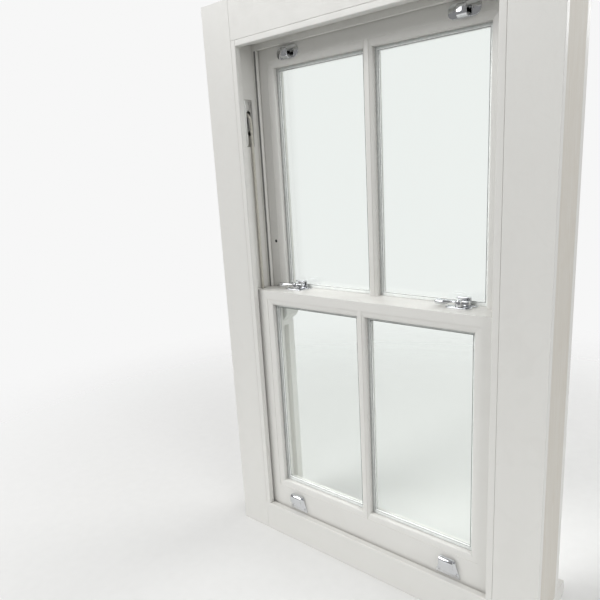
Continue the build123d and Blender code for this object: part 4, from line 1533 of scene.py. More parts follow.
@dataclass
class Fasteners(Assembly):
    """The two sash fasteners: base, lever and keep.

    Attributes:
        base_length: the base plate's length.
        base_width: the base plate's width.
        base_thick: the base plate's thickness.
        base_shift: from the pivot to the base plate's middle.
        base_screws: from the pivot to its screws.
        screw_radius: the radius of all its screws.
        gap: the running gap under and over the lever's hub.
        hub_radius: the hub's radius.
        hub_height: the hub's height.
        lever_length: from the pivot to the thumb piece's tip.
        cam_length: from the pivot to the cam's tip.
        keep_width: the width of the keep's arch.
        keep_foot: the length of the keep's foot.
        keep_height: the keep's height.
        keep_sheet: the keep's thickness.
        keep_screw: from the arch's edge to the foot's screw.
    """

    base_length: float = 50 * MM
    base_width: float = 20 * MM
    base_thick: float = 2.5 * MM
    base_shift: float = -1 * MM
    base_screws: Sequence[float] = (-19.5 * MM, 17 * MM)
    screw_radius: float = 3.0 * MM
    gap: float = 0.3 * MM
    hub_radius: float = 8 * MM
    hub_height: float = 11.4 * MM
    lever_length: float = 49 * MM
    cam_length: float = 21 * MM
    keep_width: float = 26 * MM
    keep_foot: float = 40 * MM
    keep_height: float = 17.5 * MM
    keep_sheet: float = 2.8 * MM
    keep_screw: float = 7 * MM

    def build(self) -> None:
        """Make the bases, the levers and the keeps."""
        bases, keeps = Shape(), Shape()
        for side in Side:
            node = f"fastener_lever_{side.word}"
            low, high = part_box(node)
            pivot = facing((high.x - self.cam_length, (low.y + high.y) / 2, self.layout.rail_z), UP, OUT)
            bases.stamp(self.base(), pivot)
            Shape().stamp(self.lever(), pivot).piece(
                f"fastener_{side.word}_lever", f"lever_{side.word}", "chrome", self.finishes.plated, node)
        bases.piece("fastener_base_plates", "lower_sash", "chrome", self.finishes.plated, "fastener_bases")
        low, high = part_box("fastener_keeps")
        half = self.keep_width / 2
        for x in (low.x + half, high.x - self.keep_foot + half):
            keeps.stamp(self.keep(high.y - low.y), facing((x, low.y, low.z), UP, OUT))
        keeps.piece("keep_plates", "upper_sash", "chrome", self.finishes.plated, "fastener_keeps")

    def base(self) -> Shape:
        """Make the base: plate, two screws, pivot post and riveted cap.

        Returns:
            The base about its pivot.
        """
        outline = box_outline(self.base_length, self.base_width, 9 * MM)
        plate = Shape().slab(outline, self.base_thick, 0.9 * MM)
        shape = Shape().stamp(plate, moved(self.base_shift, 0.0, 0.0))
        shape.stamp(Screw(self.screw_radius).shape(), *(moved(x, 0.0, self.base_thick, turn)
                                                        for x, turn in zip(self.base_screws, (0.4, 1.2))))
        top = self.base_thick + 2 * self.gap + self.hub_height
        cap = ((5.1, 0.0), (5.5, 0.4), (5.3, 0.9), (4.2, 1.45), (2.4, 1.6), (1.5, 1.35), (0.0, 1.2))
        return shape.lathe([(0.0, 0.5 * MM), (3.5 * MM, 0.5 * MM), (3.5 * MM, top),
                            *((radius * MM, top + rise * MM) for radius, rise in cap)], 28)

    def lever(self) -> Shape:
        """Make the lever: turned hub, thumb piece and locking cam.

        Returns:
            The lever about its pivot.
        """
        low = self.base_thick + self.gap
        high = low + self.hub_height
        r, bore, edge, waist = self.hub_radius, 3.56 * MM, 0.7 * MM, self.hub_radius - 0.8 * MM
        shape = Shape().lathe([
            (bore, low), (r - edge, low), (r, low + edge), (r, low + 3.2 * MM), (waist, low + 3.8 * MM),
            (waist, low + 5 * MM), (r, low + 5.6 * MM), (r, high - 1.4 * MM), (r - 0.5 * MM, high - 0.4 * MM),
            (r - 1.5 * MM, high), (bore, high)], 32, closed=True)
        shape.stamp(self.tongue(), moved(0.0, 0.0, low))
        start, half, bend = 4 * MM, 4.5 * MM, 3.8 * MM
        outline = rounded([(start, -half, 0.0), (self.cam_length, -half, bend), (self.cam_length, half, bend),
                           (start, half, 0.0)])
        return shape.stamp(Shape().slab(outline, 6 * MM, 1.0 * MM), moved(0.0, 0.0, low + 5.4 * MM))

    def tongue(self, count: int = 22, sides: int = 24) -> Shape:
        """Make the thumb piece: a neck beside the hub that swells to a full rounded end.

        Args:
            count: how many rings make it.
            sides: facets round it.

        Returns:
            The thumb piece, along -x from the hub.
        """
        shape = Shape()
        start, round_end = 5 * MM, 7.2 * MM
        rings = []
        for index in range(count):
            along = start + (self.lever_length - start) * math.sin(math.pi / 2 * index / count)
            swell = min(1.0, max(0.0, (along - 11 * MM) / (22 * MM)))
            swell *= swell * (3 - 2 * swell)
            full = math.sqrt(max(0.0, 1 - max(0.0, 1 - (self.lever_length - along) / round_end) ** 2))
            wide, thick = (4.2 + 3.3 * swell) * full, (1.7 + 3.4 * swell) * full
            middle = 8.6 - 2.6 * swell
            rings.append(shape.ring((-along, self.squared(turn, 0.0) * wide * MM,
                                     (middle + self.squared(turn, math.pi / 2) * thick) * MM)
                                    for turn in turned(sides)))
        shape.skin(rings + [shape.ring([(-self.lever_length, 0.0, 6 * MM)])])
        shape.face(reversed(rings[0]))
        return shape

    @staticmethod
    def squared(turn: float, lag: float, power: float = 0.72) -> float:
        """A cosine of a turn less its lag, fuller than round."""
        wave = math.cos(turn - lag)
        return math.copysign(abs(wave) ** power, wave)

    def keep(self, depth: float) -> Shape:
        """Make one keep about the middle of its arch, its front on y = 0.

        Args:
            depth: how far back its wall stands.

        Returns:
            The arch over the cam, and the screwed foot.
        """
        half = self.keep_sheet / 2
        wall, roof = depth - half, self.keep_height - half
        path = Path([(wall, 0.2 * MM, 0.0), (wall, roof, 2.6 * MM), (0.0, roof, 0.0)])

        def half_width(distance: float) -> float:
            """Half the arch's width, rounded at its front lip."""
            return self.keep_width / 2 - taken_off(path.length - distance, 3 * MM)

        foot_thick = 1.4 * MM
        foot = Shape().slab(box_outline(self.keep_foot, depth, 4 * MM), foot_thick, 0.5 * MM)
        shape = Shape().strip(path, half_width, self.keep_sheet, 0.8 * MM)
        shape.stamp(foot, moved((self.keep_foot - self.keep_width) / 2, depth / 2, 0.0))
        screw_x = self.keep_width / 2 + self.keep_screw
        return shape.stamp(Screw(self.screw_radius).shape(), moved(screw_x, depth / 2, foot_thick, 0.7))


@dataclass
class Pulleys(Assembly):
    """The four axle pulleys: screwed face plates with their cheeks and axles, and the grooved wheels.

    Attributes:
        plate_height: the face plate's height.
        plate_width: the face plate's width.
        plate_thick: the face plate's thickness.
        screw_in: from the face plate's ends to its screws.
        slot_width: the width of the slot that shows the wheel.
        reach: the cheeks' and the slot's radius about the axle.
        cheek: a cheek's thickness.
        cord_radius: the wheel's radius at the middle of the cord.
    """

    plate_height: float = 100 * MM
    plate_width: float = 24 * MM
    plate_thick: float = 3 * MM
    screw_in: float = 8 * MM
    slot_width: float = 13 * MM
    reach: float = 26.5 * MM
    cheek: float = 2.2 * MM
    cord_radius: float = 23.5 * MM

    def build(self) -> None:
        """Make the cases and the wheels."""
        cases = Shape()
        plate, cheeks = self.plate(), self.cheeks()
        for sash, side in product(SASHES, Side):
            centre = self.layout.wheel(sash, side)
            inwards = (float(-side), 0.0, 0.0)
            face_x = side * (self.layout.stile_x + self.plate_thick)
            cases.stamp(plate, facing((face_x, centre.y, centre.z), inwards, UP))
            cases.stamp(cheeks, facing(centre, inwards, UP))
            Shape().stamp(self.wheel(), facing(centre, OUT, UP)).piece(
                f"{sash}_wheel_{side.word}", f"{sash}_wheel_{side.word}", "chrome", self.finishes.satin,
                f"{sash}_pulley_{side.word}")
        cases.piece("pulley_case_set", "frame", "chrome", self.finishes.satin, "pulley_cases")

    def plate(self) -> Shape:
        """Make the face plate with its slot and two countersunk screws.

        Returns:
            The plate on z = 0, about the axle.
        """
        slot = box_outline(self.slot_width, 2 * self.reach, self.slot_width / 2 - 0.02 * MM)
        outline = box_outline(self.plate_width, self.plate_height, 1.6 * MM)
        plate = Shape().slab(outline, self.plate_thick, 0.35 * MM, slot)
        rise, sunk = self.plate_height / 2 - self.screw_in, self.plate_thick - 0.05 * MM
        places = (moved(0.0, rise, sunk, 0.3), moved(0.0, -rise, sunk, 1.0))
        return plate.stamp(Screw(3.3 * MM, 0.3 * MM).shape(), *places)

    def cheeks(self) -> Shape:
        """Make the two D-shaped cheeks, and the axle with its riveted ends.

        Returns:
            The cheeks and the axle, about the middle of the axle.
        """
        back = self.layout.wheels["lower"].x - self.layout.stile_x - self.plate_thick
        bend = self.reach - TINY
        outline = rounded([(-self.reach, -self.reach, bend), (back, -self.reach, 0.0),
                           (back, self.reach, 0.0), (-self.reach, self.reach, bend)])
        cheek = Shape().slab(outline, self.cheek, 0.4 * MM)
        gap = self.slot_width / 2
        end = gap + self.cheek
        ends = [(0.0, end + 0.4 * MM), (2.2 * MM, end + 0.4 * MM), (3 * MM, end)]
        axle = Shape().lathe([(r, -z) for r, z in ends] + ends[::-1], 20)
        sideways = Matrix(((0.0, 0.0, 1.0), (0.0, 1.0, 0.0), (1.0, 0.0, 0.0))).to_4x4()
        shape = Shape().stamp(cheek, moved(gap, 0.0, 0.0) @ sideways, moved(-end, 0.0, 0.0) @ sideways)
        return shape.stamp(axle, sideways)

    def wheel(self) -> Shape:
        """Make a wheel: hub, thin web, and a rim grooved for the cord.

        Returns:
            The wheel about its axle.
        """
        half, rim, groove, lip = 4.75 * MM, 23.1 * MM, 3.3 * MM, 3.22 * MM
        web, hub, ring = 3.25 * MM, 7 * MM, 17.1 * MM
        outer = [(rim, -half + 0.3 * MM), (rim, -lip)]
        for height in (lip * (step / 5 - 1) for step in range(1, 10)):
            outer.append((self.cord_radius - math.sqrt(groove ** 2 - height ** 2), height))
        outer += [(rim, lip), (rim, half - 0.3 * MM)]
        side = [(3.06 * MM, half), (hub - 0.4 * MM, half), (hub, half - 0.4 * MM), (hub + 0.5 * MM, web),
                (ring - 0.5 * MM, web), (ring, half), (rim - 0.3 * MM, half)]
        return Shape().lathe([(r, -z) for r, z in side] + outer + side[::-1], 56, closed=True)


@dataclass(frozen=True)
class Drop:
    """Straight cords that drop from the wheels to what hangs on them.

    Attributes:
        name: the piece's name.
        node: the CAD node of the cords.
        body: what hangs on them.
        wheel: the centre of a wheel.
        xs: where the cords are.
        knot_xs: where their knots are.
        knot_z: the height of the knots.
        shortens: whether they get shorter as the body leaves its rest.
    """

    name: str
    node: str
    body: str
    wheel: Vector
    xs: Sequence[float]
    knot_xs: Sequence[float]
    knot_z: float
    shortens: bool


@dataclass
class Cords(Assembly):
    """The four sash cords: their turns over the wheels, their runs to sash and weight, and the knots.

    Attributes:
        radius: the cord's radius.
        turn_radius: the turn's radius over the wheel.
        travel: how far each sash slides.
        knot_radius: half the height of a knot.
        cut: how often a run is cut along its length.
        crease: the angle in degrees above which an edge shades sharp.
    """

    radius: float = 3 * MM
    turn_radius: float = 23.5 * MM
    travel: float = 450 * MM
    knot_radius: float = 4.5 * MM
    cut: float = 18 * MM
    crease: float = 80

    def build(self) -> None:
        """Make the turns, the runs and the knots."""
        self.turns()
        drops = self.sash_drops() + self.weight_drops()
        for drop in drops:
            self.run(drop)
        for drop in drops:
            knots = Shape()
            for x in drop.knot_xs:
                self.knot(knots, Vector((x, drop.wheel.y, drop.knot_z)))
            knots.piece(f"{drop.body}_cord_knots", drop.body, "cord", [self.finishes.cord_turn],
                        crease=self.crease)

    def turns(self) -> None:
        """Make the half turns over the four wheels."""
        shape = Shape()
        count = 24
        arc = circle(self.turn_radius, 2 * count)[:count + 1]
        for sash, side in product(SASHES, Side):
            centre = self.layout.wheels[sash]
            shape.tube([Vector((side * (centre.x - x), centre.y, centre.z + z)) for x, z in arc], self.radius)
        shape.piece("cord_half_turns", "frame", "cord", [self.finishes.cord_turn], "cord_turns",
                    crease=self.crease)

    def sash_drops(self) -> list[Drop]:
        """List the cords from the wheels down to the sashes.

        Returns:
            The drops.
        """
        drops = []
        for sash in SASHES:
            node, wheel = f"{sash}_sash_cords", self.layout.wheels[sash]
            low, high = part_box(node)
            xs = [side * (wheel.x - self.turn_radius) for side in Side]
            knot_xs = [side * (high.x - self.knot_radius) for side in Side]
            drops.append(Drop(f"{sash}_sash_cord_runs", node, f"{sash}_sash", wheel, xs, knot_xs,
                              low.z + self.knot_radius, sash == "lower"))
        return drops

    def weight_drops(self) -> list[Drop]:
        """List the cords from the wheels down to the weights.

        Returns:
            The drops.
        """
        drops = []
        for sash, side in product(SASHES, Side):
            node, body = f"{sash}_weight_cords", f"{sash}_weight_{side.word}"
            low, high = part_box(body)
            spots = [(low.x + high.x) / 2]
            drops.append(Drop(f"{body}_cord_run", node, body, self.layout.wheels[sash], spots, spots,
                              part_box(node)[0].z + self.knot_radius, sash == "upper"))
        return drops

    def run(self, drop: Drop) -> None:
        """Make the straight cords of a drop: on the frame with a mesh of their own where they shorten, and
        baked in place on no body where they lengthen.

        Args:
            drop: the drop.
        """
        shape = Shape()
        length = drop.wheel.z - drop.knot_z
        count = max(6, round(length / self.cut))
        for x in drop.xs:
            points = [Vector((x, drop.wheel.y, drop.wheel.z - length * step / count))
                      for step in range(count + 1)]
            shape.tube(points, self.radius)
        body = "frame" if drop.shortens else None
        piece = shape.piece(drop.name, body, "cord", [self.finishes.cord_run], drop.node, crease=self.crease)
        if drop.shortens:
            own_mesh(piece)
        else:
            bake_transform(piece)

    @staticmethod
    def knot(shape: Shape, centre: Vector) -> None:
        """Add a tight overhand stopper knot.

        Args:
            shape: what it is added to.
            centre: its middle.
        """
        wide, tall, strand, count = 0.82 * MM, 1.5 * MM, 1.9 * MM, 60
        points = []
        for t in (math.tau * step / count for step in range(count + 1)):
            x, y = math.sin(t) + 2 * math.sin(2 * t), math.cos(t) - 2 * math.cos(2 * t)
            points.append(centre + Vector((x * wide, y * wide, -math.sin(3 * t) * tall)))
        shape.tube(points, strand, 10)


@dataclass
class Weights(Assembly):
    """The four cast iron weights, each with a bored neck and a mould line down both sides.

    Attributes:
        radius: the casting's radius.
        neck: the height of its tapered neck.
    """

    radius: float = 20 * MM
    neck: float = 22 * MM

    def build(self) -> None:
        """Make the four weights."""
        for sash, side in product(SASHES, Side):
            name = f"{sash}_weight_{side.word}"
            low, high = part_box(name)
            foot = ((low.x + high.x) / 2, (low.y + high.y) / 2, low.z)
            Shape().stamp(self.casting(high.z - low.z), facing(foot, UP, OUT)).piece(
                f"{name}_casting", name, "iron", [self.finishes.iron], name)

    def casting(self, length: float) -> Shape:
        """Make one weight on z = 0 about the z axis.

        Args:
            length: its length.

        Returns:
            The casting.
        """
        r, shoulder, bore, hollow = self.radius, length - self.neck, 3.3 * MM, 4.8 * MM
        middle = shoulder - 4.5 * MM
        profile = [(0.0, 1.2 * MM), (r - 6 * MM, 0.6 * MM), (r - 3 * MM, 0.0), (r - 0.8 * MM, 0.9 * MM),
                   (r, 3 * MM)]
        profile += [(r - 0.15 * MM * (step % 2), shoulder * step / 24) for step in range(1, 24)]
        profile += [(r, shoulder - 1.5 * MM), (r - 0.5 * MM, shoulder), (9.9 * MM, length - 1 * MM),
                    (9 * MM, length), (4.3 * MM, length), (bore, length - 1 * MM), (bore, middle + 3.4 * MM)]
        for angle in (math.radians(45 - 33.75 * step) for step in range(5)):
            profile.append((hollow * math.cos(angle), middle + hollow * math.sin(angle)))
        casting = Shape().lathe(profile + [(0.0, middle - hollow)], 40)
        ridge = Shape().slab(box_outline(1.6 * MM, shoulder - 12 * MM, 0.3 * MM), 0.7 * MM, 0.3 * MM)
        places = [facing((0.0, side * (r - 0.35 * MM), shoulder / 2), (0.0, float(side), 0.0), UP)
                  for side in Side]
        return casting.stamp(ridge, *places)


@dataclass
class Glazing(Assembly):
    """What seals the four double panes: spacer bars, butyl and sealant.

    Attributes:
        from_face: from the sash's room face to the glass.
        leaf: the thickness of one leaf.
        cavity: the gap between the leaves.
        shown: how far the spacer shows inside the sight line.
        hidden: how far the spacer and the seal reach into the rebate.
        bar_half: half a glazing bar's width.
        hole: the radius of a breathing hole.
        pitch: the spacing of the breathing holes.
        fillet: the sealant's width.
    """

    from_face: float = 12.5 * MM
    leaf: float = 4 * MM
    cavity: float = 6 * MM
    shown: float = 7.5 * MM
    hidden: float = 5.5 * MM
    bar_half: float = 10 * MM
    hole: float = 0.6 * MM
    pitch: float = 6 * MM
    fillet: float = 1.1 * MM

    def build(self) -> None:
        """Seal the panes of both sashes."""
        for sash in SASHES:
            low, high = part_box(f"{sash}_spacers")
            edge = high.x - self.hidden
            rows = (low.z + self.hidden, high.z - self.hidden)
            openings = (Opening(-edge, -self.bar_half, *rows), Opening(self.bar_half, edge, *rows))
            front = self.layout.faces[sash] + self.from_face
            self.spacers(sash, openings, front + self.leaf)
            self.sealant(sash, openings, front, front + 2 * self.leaf + self.cavity)

    def spacers(self, sash: str, openings: Iterable[Opening], start: float) -> None:
        """Make the hollow bars between the leaves, with their breathing holes and butyl.

        Args:
            sash: which sash.
            openings: its openings between their sight lines.
            start: where the cavity starts, as y.
        """
        end = start + self.cavity
        back, film_thick = -0.5 * MM, 0.12 * MM
        edge = self.shown - 0.9 * MM
        bar = [(back, start + film_thick), (edge, start + film_thick), (edge + 0.3 * MM, start + 0.8 * MM),
               (self.shown, start + 1.2 * MM), (self.shown, end - 1.2 * MM),
               (edge + 0.3 * MM, end - 0.8 * MM), (edge, end - film_thick), (back, end - film_thick)]
        seals = [[(-self.hidden, start), (back, start), (back, end), (-self.hidden, end)]]
        for glass, inner in ((start, start + 0.75 * MM), (end, end - 0.75 * MM)):
            seals.append([(edge - 0.1 * MM, glass), (edge + 0.75 * MM, glass), (edge + 0.3 * MM, inner)])
        shape = Shape()
        for opening in openings:
            shape.surface = 0
            shape.rim(opening, bar)
            shape.surface = 1
            for seal in seals:
                shape.rim(opening, seal)
            self.holes(shape, opening.drawn_in(self.shown + 0.02 * MM), (start + end) / 2)
        materials = [self.finishes.spacer, self.finishes.butyl]
        shape.piece(f"{sash}_spacer_bars", f"{sash}_sash", "spacer", materials, f"{sash}_spacers")

    def holes(self, shape: Shape, inner: Opening, y: float) -> None:
        """Add the rows of small breathing holes along the bars.

        Args:
            shape: what they are added to.
            inner: the rectangle that they lie on.
            y: the middle of the cavity.
        """
        width, height = inner.right - inner.left, inner.high - inner.low
        rows = ((inner.left, inner.low, 1.0, 0.0, width), (inner.left, inner.high, 1.0, 0.0, width),
                (inner.left, inner.low, 0.0, 1.0, height), (inner.right, inner.low, 0.0, 1.0, height))
        for x, z, run_x, run_z, length in rows:
            for along in (self.pitch * index for index in range(1, int(length / self.pitch))):
                spot = Vector((x + run_x * along, y, z + run_z * along))
                edge = [(run_x * across, out, run_z * across) for across, out in circle(self.hole, 6)]
                shape.face(shape.ring(spot + Vector(point) for point in edge))

    def sealant(self, sash: str, openings: Iterable[Opening], front: float, back: float) -> None:
        """Make the fillets of sealant where both glass faces meet the timber.

        Args:
            sash: which sash.
            openings: its openings between their sight lines.
            front: the glass's face to the room, as y.
            back: the glass's face to the outside, as y.
        """
        shape = Shape()
        for opening, (glass, out) in product(openings, ((front, -1), (back, 1))):
            section = [(0.0, glass)]
            for inset, height in quarter_round(self.fillet):
                spare, proud = self.fillet - inset, self.fillet - height
                section.append((self.fillet - spare * 0.6 - 0.4 * proud, glass + out * proud))
            shape.rim(opening, section)
        shape.piece(f"{sash}_sealant", f"{sash}_sash", "painted_timber", [self.finishes.sealant])


@dataclass
class Seals(Assembly):
    """The brush piles in the frame's running gaps.

    Attributes:
        width: the pile's width.
        pitch: the spacing of its tufts.
        inset: from the beads' edge to the pile's middle.
        clear: the gap left before the sash.
        staff_foot: from a staff bead's foot to its pile.
        parting_foot: from a parting bead's foot to its piles.
        head_gap: from the piles' tops to the head.
    """

    width: float = 4.8 * MM
    pitch: float = 2.4 * MM
    inset: float = 4.6 * MM
    clear: float = 0.2 * MM
    staff_foot: float = 4 * MM
    parting_foot: float = 12 * MM
    head_gap: float = 14 * MM

    def build(self) -> None:
        """Stand the piles in the gaps before and behind the sashes, on both sides."""
        staff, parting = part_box("staff_bead_right"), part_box("parting_bead_right")
        lower_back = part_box("lower_stile_right")[1].y
        parting_low = parting[0].z + self.parting_foot
        gaps = ((staff[1].y, self.layout.faces["lower"], staff[0].z + self.staff_foot),
                (parting[0].y, lower_back, parting_low),
                (parting[1].y, self.layout.faces["upper"], parting_low))
        top = self.layout.soffit_z - self.head_gap
        shape = Shape()
        for (start, sash, low), side in product(gaps, Side):
            foot = Vector((side * (self.layout.bead_x + self.inset), start, low))
            self.pile(shape, foot, top - low, sash - start - math.copysign(self.clear, sash - start))
        shape.piece("brush_piles", "frame", "painted_timber", [self.finishes.pile])

    def pile(self, shape: Shape, foot: Vector, length: float, depth: float) -> None:
        """Add one upright pile: a row of tufts that lean a little to one side and the other.

        Args:
            shape: what it is added to.
            foot: its lower end, on the bead.
            length: its length.
            depth: how far it reaches from the bead along y.
        """
        rings = []
        count = int(length / self.pitch * 2)
        half = self.width / 2
        for index in range(count + 1):
            proud = depth * (0.93 if index % 2 else 1.0)
            lean = 0.35 * MM * math.sin(index * 2.4)
            section = ((-half, 0.0), (half, 0.0), (half * 0.75 + lean, proud * 0.6), (lean, proud),
                       (-half * 0.75 + lean, proud * 0.6))
            rings.append(shape.ring(foot + Vector((x, y, length * index / count)) for x, y in section))
        shape.skin(rings)
        shape.face(rings[0])
        shape.face(rings[-1])


@dataclass
class Fixings(Assembly):
    """The filled pin heads of the beads, the screws of the pocket pieces and the sockets of the stops, whose
    near-black is painted shade in the stop holes.

    Attributes:
        staff_count: how many pins an upright staff bead has.
        staff_end: from the ends of a staff bead to its pins.
        head_shares: where the head bead's pins are, as shares of its half.
        glazing_shares: where the glazing beads' pins are, as shares of their height.
        glazing_edge: from the glazing beads' edge to their pins.
        glazing_middle: from the glazing bar's middle to the pins beside it.
        pocket_screw: the radius and the rise of a pocket piece's screw.
        pocket_low: from a pocket piece's foot to its lower screw.
        pocket_high: from its top to its upper screw.
        stop_in: from the upper stile's inner edge to its stop hole.
        stop_rise: from the meeting rails' top to the stop holes.
        stop_depth: how deep a stop's socket is.
    """

    staff_count: int = 6
    staff_end: float = 45 * MM
    head_shares: Sequence[float] = (-0.8, -0.28, 0.26, 0.81)
    glazing_shares: Sequence[float] = (0.12, 0.37, 0.63, 0.88)
    glazing_edge: float = 1.1 * MM
    glazing_middle: float = 4.1 * MM
    pocket_screw: tuple[float, float] = (3.6 * MM, 0.25 * MM)
    pocket_low: float = 26 * MM
    pocket_high: float = 22 * MM
    stop_in: float = 21.625 * MM
    stop_rise: float = 107 * MM
    stop_depth: float = 11.4 * MM

    def build(self) -> None:
        """Pin the staff beads and the glazing beads, screw the pocket pieces and line the stop holes with
        painted shade.
        """
        self.staff_pins()
        self.glazing_pins()
        self.pocket_screws()
        self.stop_sockets()

    @staticmethod
    def pin() -> Shape:
        """A pin head's filling: a shallow dimple with a faint raised ring."""
        return Shape().lathe([(1.9 * MM, -0.1 * MM), (1.6 * MM, 0.07 * MM), (1.2 * MM, 0.09 * MM),
                              (0.6 * MM, 0.03 * MM), (0.0, 0.02 * MM)], 14)

    def staff_pins(self) -> None:
        """Pin both staff beads and the head bead."""
        low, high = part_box("staff_bead_right")
        middle = (low.x + high.x) / 2
        pitch = (high.z - low.z - 2 * self.staff_end) / (self.staff_count - 1)
        spots = [(side * middle, low.z + self.staff_end + pitch * index)
                 for side, index in product(Side, range(self.staff_count))]
        head_z = self.layout.soffit_z - (high.x - low.x) / 2
        spots += [(low.x * share, head_z) for share in self.head_shares]
        pins = Shape().stamp(self.pin(), *(facing((x, low.y, z), ROOM, UP) for x, z in spots))
        pins.piece("staff_bead_pins", "frame", "painted_timber", [self.finishes.across])

    def glazing_pins(self) -> None:
        """Pin the glazing beads on the outside."""
        for sash in SASHES:
            low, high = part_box(f"{sash}_glazing_beads")
            middle = self.glazing_middle
            columns = (low.x + self.glazing_edge, -middle, middle, high.x - self.glazing_edge)
            places = [facing((x, high.y, low.z + (high.z - low.z) * share), OUT, UP) @ Matrix.Scale(0.5, 4)
                      for x, share in product(columns, self.glazing_shares)]
            Shape().stamp(self.pin(), *places).piece(f"{sash}_bead_pins", f"{sash}_sash", "painted_timber",
                                                     [self.finishes.across])

    def pocket_screws(self) -> None:
        """Put two screws through each pocket piece."""
        shape, screw = Shape(), Screw(*self.pocket_screw).shape()
        for side in Side:
            low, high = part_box(f"pocket_piece_{side.word}")
            face_x = low.x if side is Side.RIGHT else high.x
            for z, turn in ((low.z + self.pocket_low, 0.2), (high.z - self.pocket_high, 1.3)):
                place = facing((face_x, (low.y + high.y) / 2, z), (float(-side), 0.0, 0.0), UP)
                shape.stamp(screw, place @ moved(0.0, 0.0, 0.0, turn))
        shape.piece("pocket_screws", "frame", "chrome", self.finishes.satin)

    def stop_sockets(self) -> None:
        """Line each stop hole of the upper sash with a ribbed socket whose near-black is painted shade."""
        depth, bore, outer, pitch = self.stop_depth, 2.7 * MM, 3.4 * MM, 1.2 * MM
        profile = [(0.0, -depth - 0.4 * MM), (outer, -depth - 0.4 * MM), (outer, -0.1 * MM),
                   (bore + 0.3 * MM, 0.0)]
        for rib in range(int(depth / pitch)):
            profile += [(bore, -pitch * (rib + 0.4)), (bore + 0.25 * MM, -pitch * (rib + 0.9))]
        socket = Shape().lathe(profile + [(bore, -depth), (0.0, -depth)], 20)
        shape = Shape()
        for side in Side:
            low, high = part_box(f"upper_stile_{side.word}")
            x = low.x + self.stop_in if side is Side.RIGHT else high.x - self.stop_in
            shape.stamp(socket, facing((x, low.y, self.layout.rail_z + self.stop_rise), ROOM, UP))
        shape.piece("stop_sockets", "upper_sash", "iron", [self.finishes.recess])


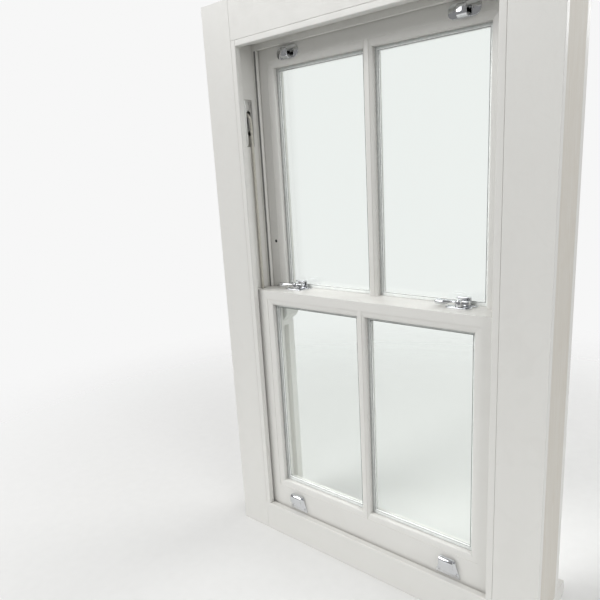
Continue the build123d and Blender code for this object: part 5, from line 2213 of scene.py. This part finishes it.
@dataclass
class Studio:
    """The plain floor, soft lights and the camera at the picture's viewing angle.

    Attributes:
        place: where the camera stands.
        right: the camera's right.
        down: the camera's down.
        forward: the camera's line of sight.
        view: the camera's field of view in degrees.
        lamps: the name, place, power and size of each broad soft lamp.
        aim: what the lamps face.
        floor_fades: how far out the floor starts to fade into the surround.
        floor_ends: how far out the floor has faded away.
        floor_tones: the floor's two colours.
        dim: the surround's light from the room's side.
        bright: the surround's light from outside.
        shown: the surround's light as the camera sees it, also through the glass.
    """

    place: Point = (0.5951, -0.9736, 0.8811)
    right: Point = (0.7747, 0.6299, -0.05725)
    down: Point = (0.09979, -0.21091, -0.97253)
    forward: Point = (-0.62444, 0.74770, -0.22615)
    view: float = 57.53
    lamps: Sequence[tuple[str, Point, float, float]] = (
        ("room_lamp", (-2.2, -3.0, 3.2), 125.0, 2.4),
        ("side_lamp", (3.4, -1.6, 2.2), 40.0, 2.2),
        ("back_lamp", (1.5, 3.5, 3.0), 62.0, 2.6),
    )
    aim: Point = (0.0, 0.0, 0.6)
    floor_fades: float = 0.7
    floor_ends: float = 2.1
    floor_tones: tuple[Rgb, Rgb] = ((0.80, 0.80, 0.79), (0.84, 0.84, 0.83))
    dim: float = 0.26
    bright: float = 0.6
    shown: float = 0.93

    def build(self) -> None:
        """Add the floor, the lamps, the world and the camera."""
        self.floor()
        for lamp in self.lamps:
            self.lamp(*lamp)
        self.world()
        self.camera()

    def floor(self) -> None:
        """Lay a wide pale floor that fades into the surround, so that no horizon shows."""
        look = Surface("pale_floor")
        reach = look.add("VectorMath", {0: look.place}, operation="LENGTH").outputs["Value"]
        material = look.dress({
            "Base Color": look.mix(look.noise(look.place, 40.0, 4.0), *self.floor_tones),
            "Roughness": 0.9,
            "Specular IOR Level": 0.1,
            "Alpha": look.ramp(reach, self.floor_ends, self.floor_fades),
        })
        bm = bmesh.new()
        bmesh.ops.create_grid(bm, x_segments=8, y_segments=8, size=14.0)
        to_object("studio_floor", bm, [material])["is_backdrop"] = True

    def lamp(self, name: str, place: Point, power: float, size: float) -> None:
        """Hang a square soft lamp that faces the window's middle.

        Args:
            name: its name.
            place: where it hangs.
            power: its power in watts.
            size: the length of its sides.
        """
        data = bpy.data.lights.new(name, "AREA")
        data.energy = power
        data.size = size
        lamp = linked(bpy.data.objects.new(name, data))
        lamp.location = place
        lamp.rotation_euler = (Vector(self.aim) - Vector(place)).to_track_quat("-Z", "Y").to_euler()
        lamp.visible_camera = False
        lamp.visible_transmission = False

    def world(self) -> None:
        """Set a pale surround that shows nearly white to the camera and through the glass."""
        world = bpy.data.worlds.new("studio")
        world.use_nodes = True
        bpy.context.scene.world = world
        graph = Graph(world.node_tree)
        inputs = world.node_tree.nodes["Background"].inputs
        rays = graph.add("LightPath").outputs
        seen = graph.math("MAXIMUM", rays["Is Camera Ray"], rays["Is Transmission Ray"])
        outside = graph.ramp(graph.axis(graph.add("TexCoord").outputs["Generated"], "Y"), -0.7, 0.6)
        lit = graph.between(outside, self.dim, self.bright)
        unseen = graph.math("SUBTRACT", 1.0, seen)
        shown = graph.math("MULTIPLY", seen, self.shown)
        graph.feed(inputs["Color"], (1.0, 1.0, 1.0))
        graph.feed(inputs["Strength"], graph.math("MULTIPLY_ADD", lit, unseen, shown))

    def camera(self) -> None:
        """Place and turn the camera as the picture was taken."""
        data = bpy.data.cameras.new("picture_camera")
        data.sensor_fit = "HORIZONTAL"
        data.angle = math.radians(self.view)
        data.clip_start = 0.01
        camera = linked(bpy.data.objects.new("picture_camera", data))
        axes = Matrix((self.right, -Vector(self.down), -Vector(self.forward))).transposed()
        camera.matrix_world = Matrix.Translation(self.place) @ axes.to_4x4()
        bpy.context.scene.camera = camera


def main() -> None:
    """Build the window's looks in order, then the studio."""
    logging.basicConfig(level=logging.INFO, format="%(name)s: %(message)s")
    bpy.context.scene.view_settings.view_transform = "Standard"
    finishes = Finishes()
    layout = Layout.read()
    known = set(bpy.data.objects)
    for kind in (Joinery, HookLifts, HookPulls, Fasteners, Pulleys, Cords, Weights, Glazing, Seals, Fixings):
        kind(finishes, layout).build()
        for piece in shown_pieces():
            if piece not in known:
                known.add(piece)
                log.info("%s: %s", kind.__name__, piece.name)
    for sash in SASHES:
        panes = frame["nodes"][f"{sash}_glass"].data.materials
        panes.clear()
        panes.append(finishes.glass)
    Studio().build()


if __name__ == "__main__":
    main()
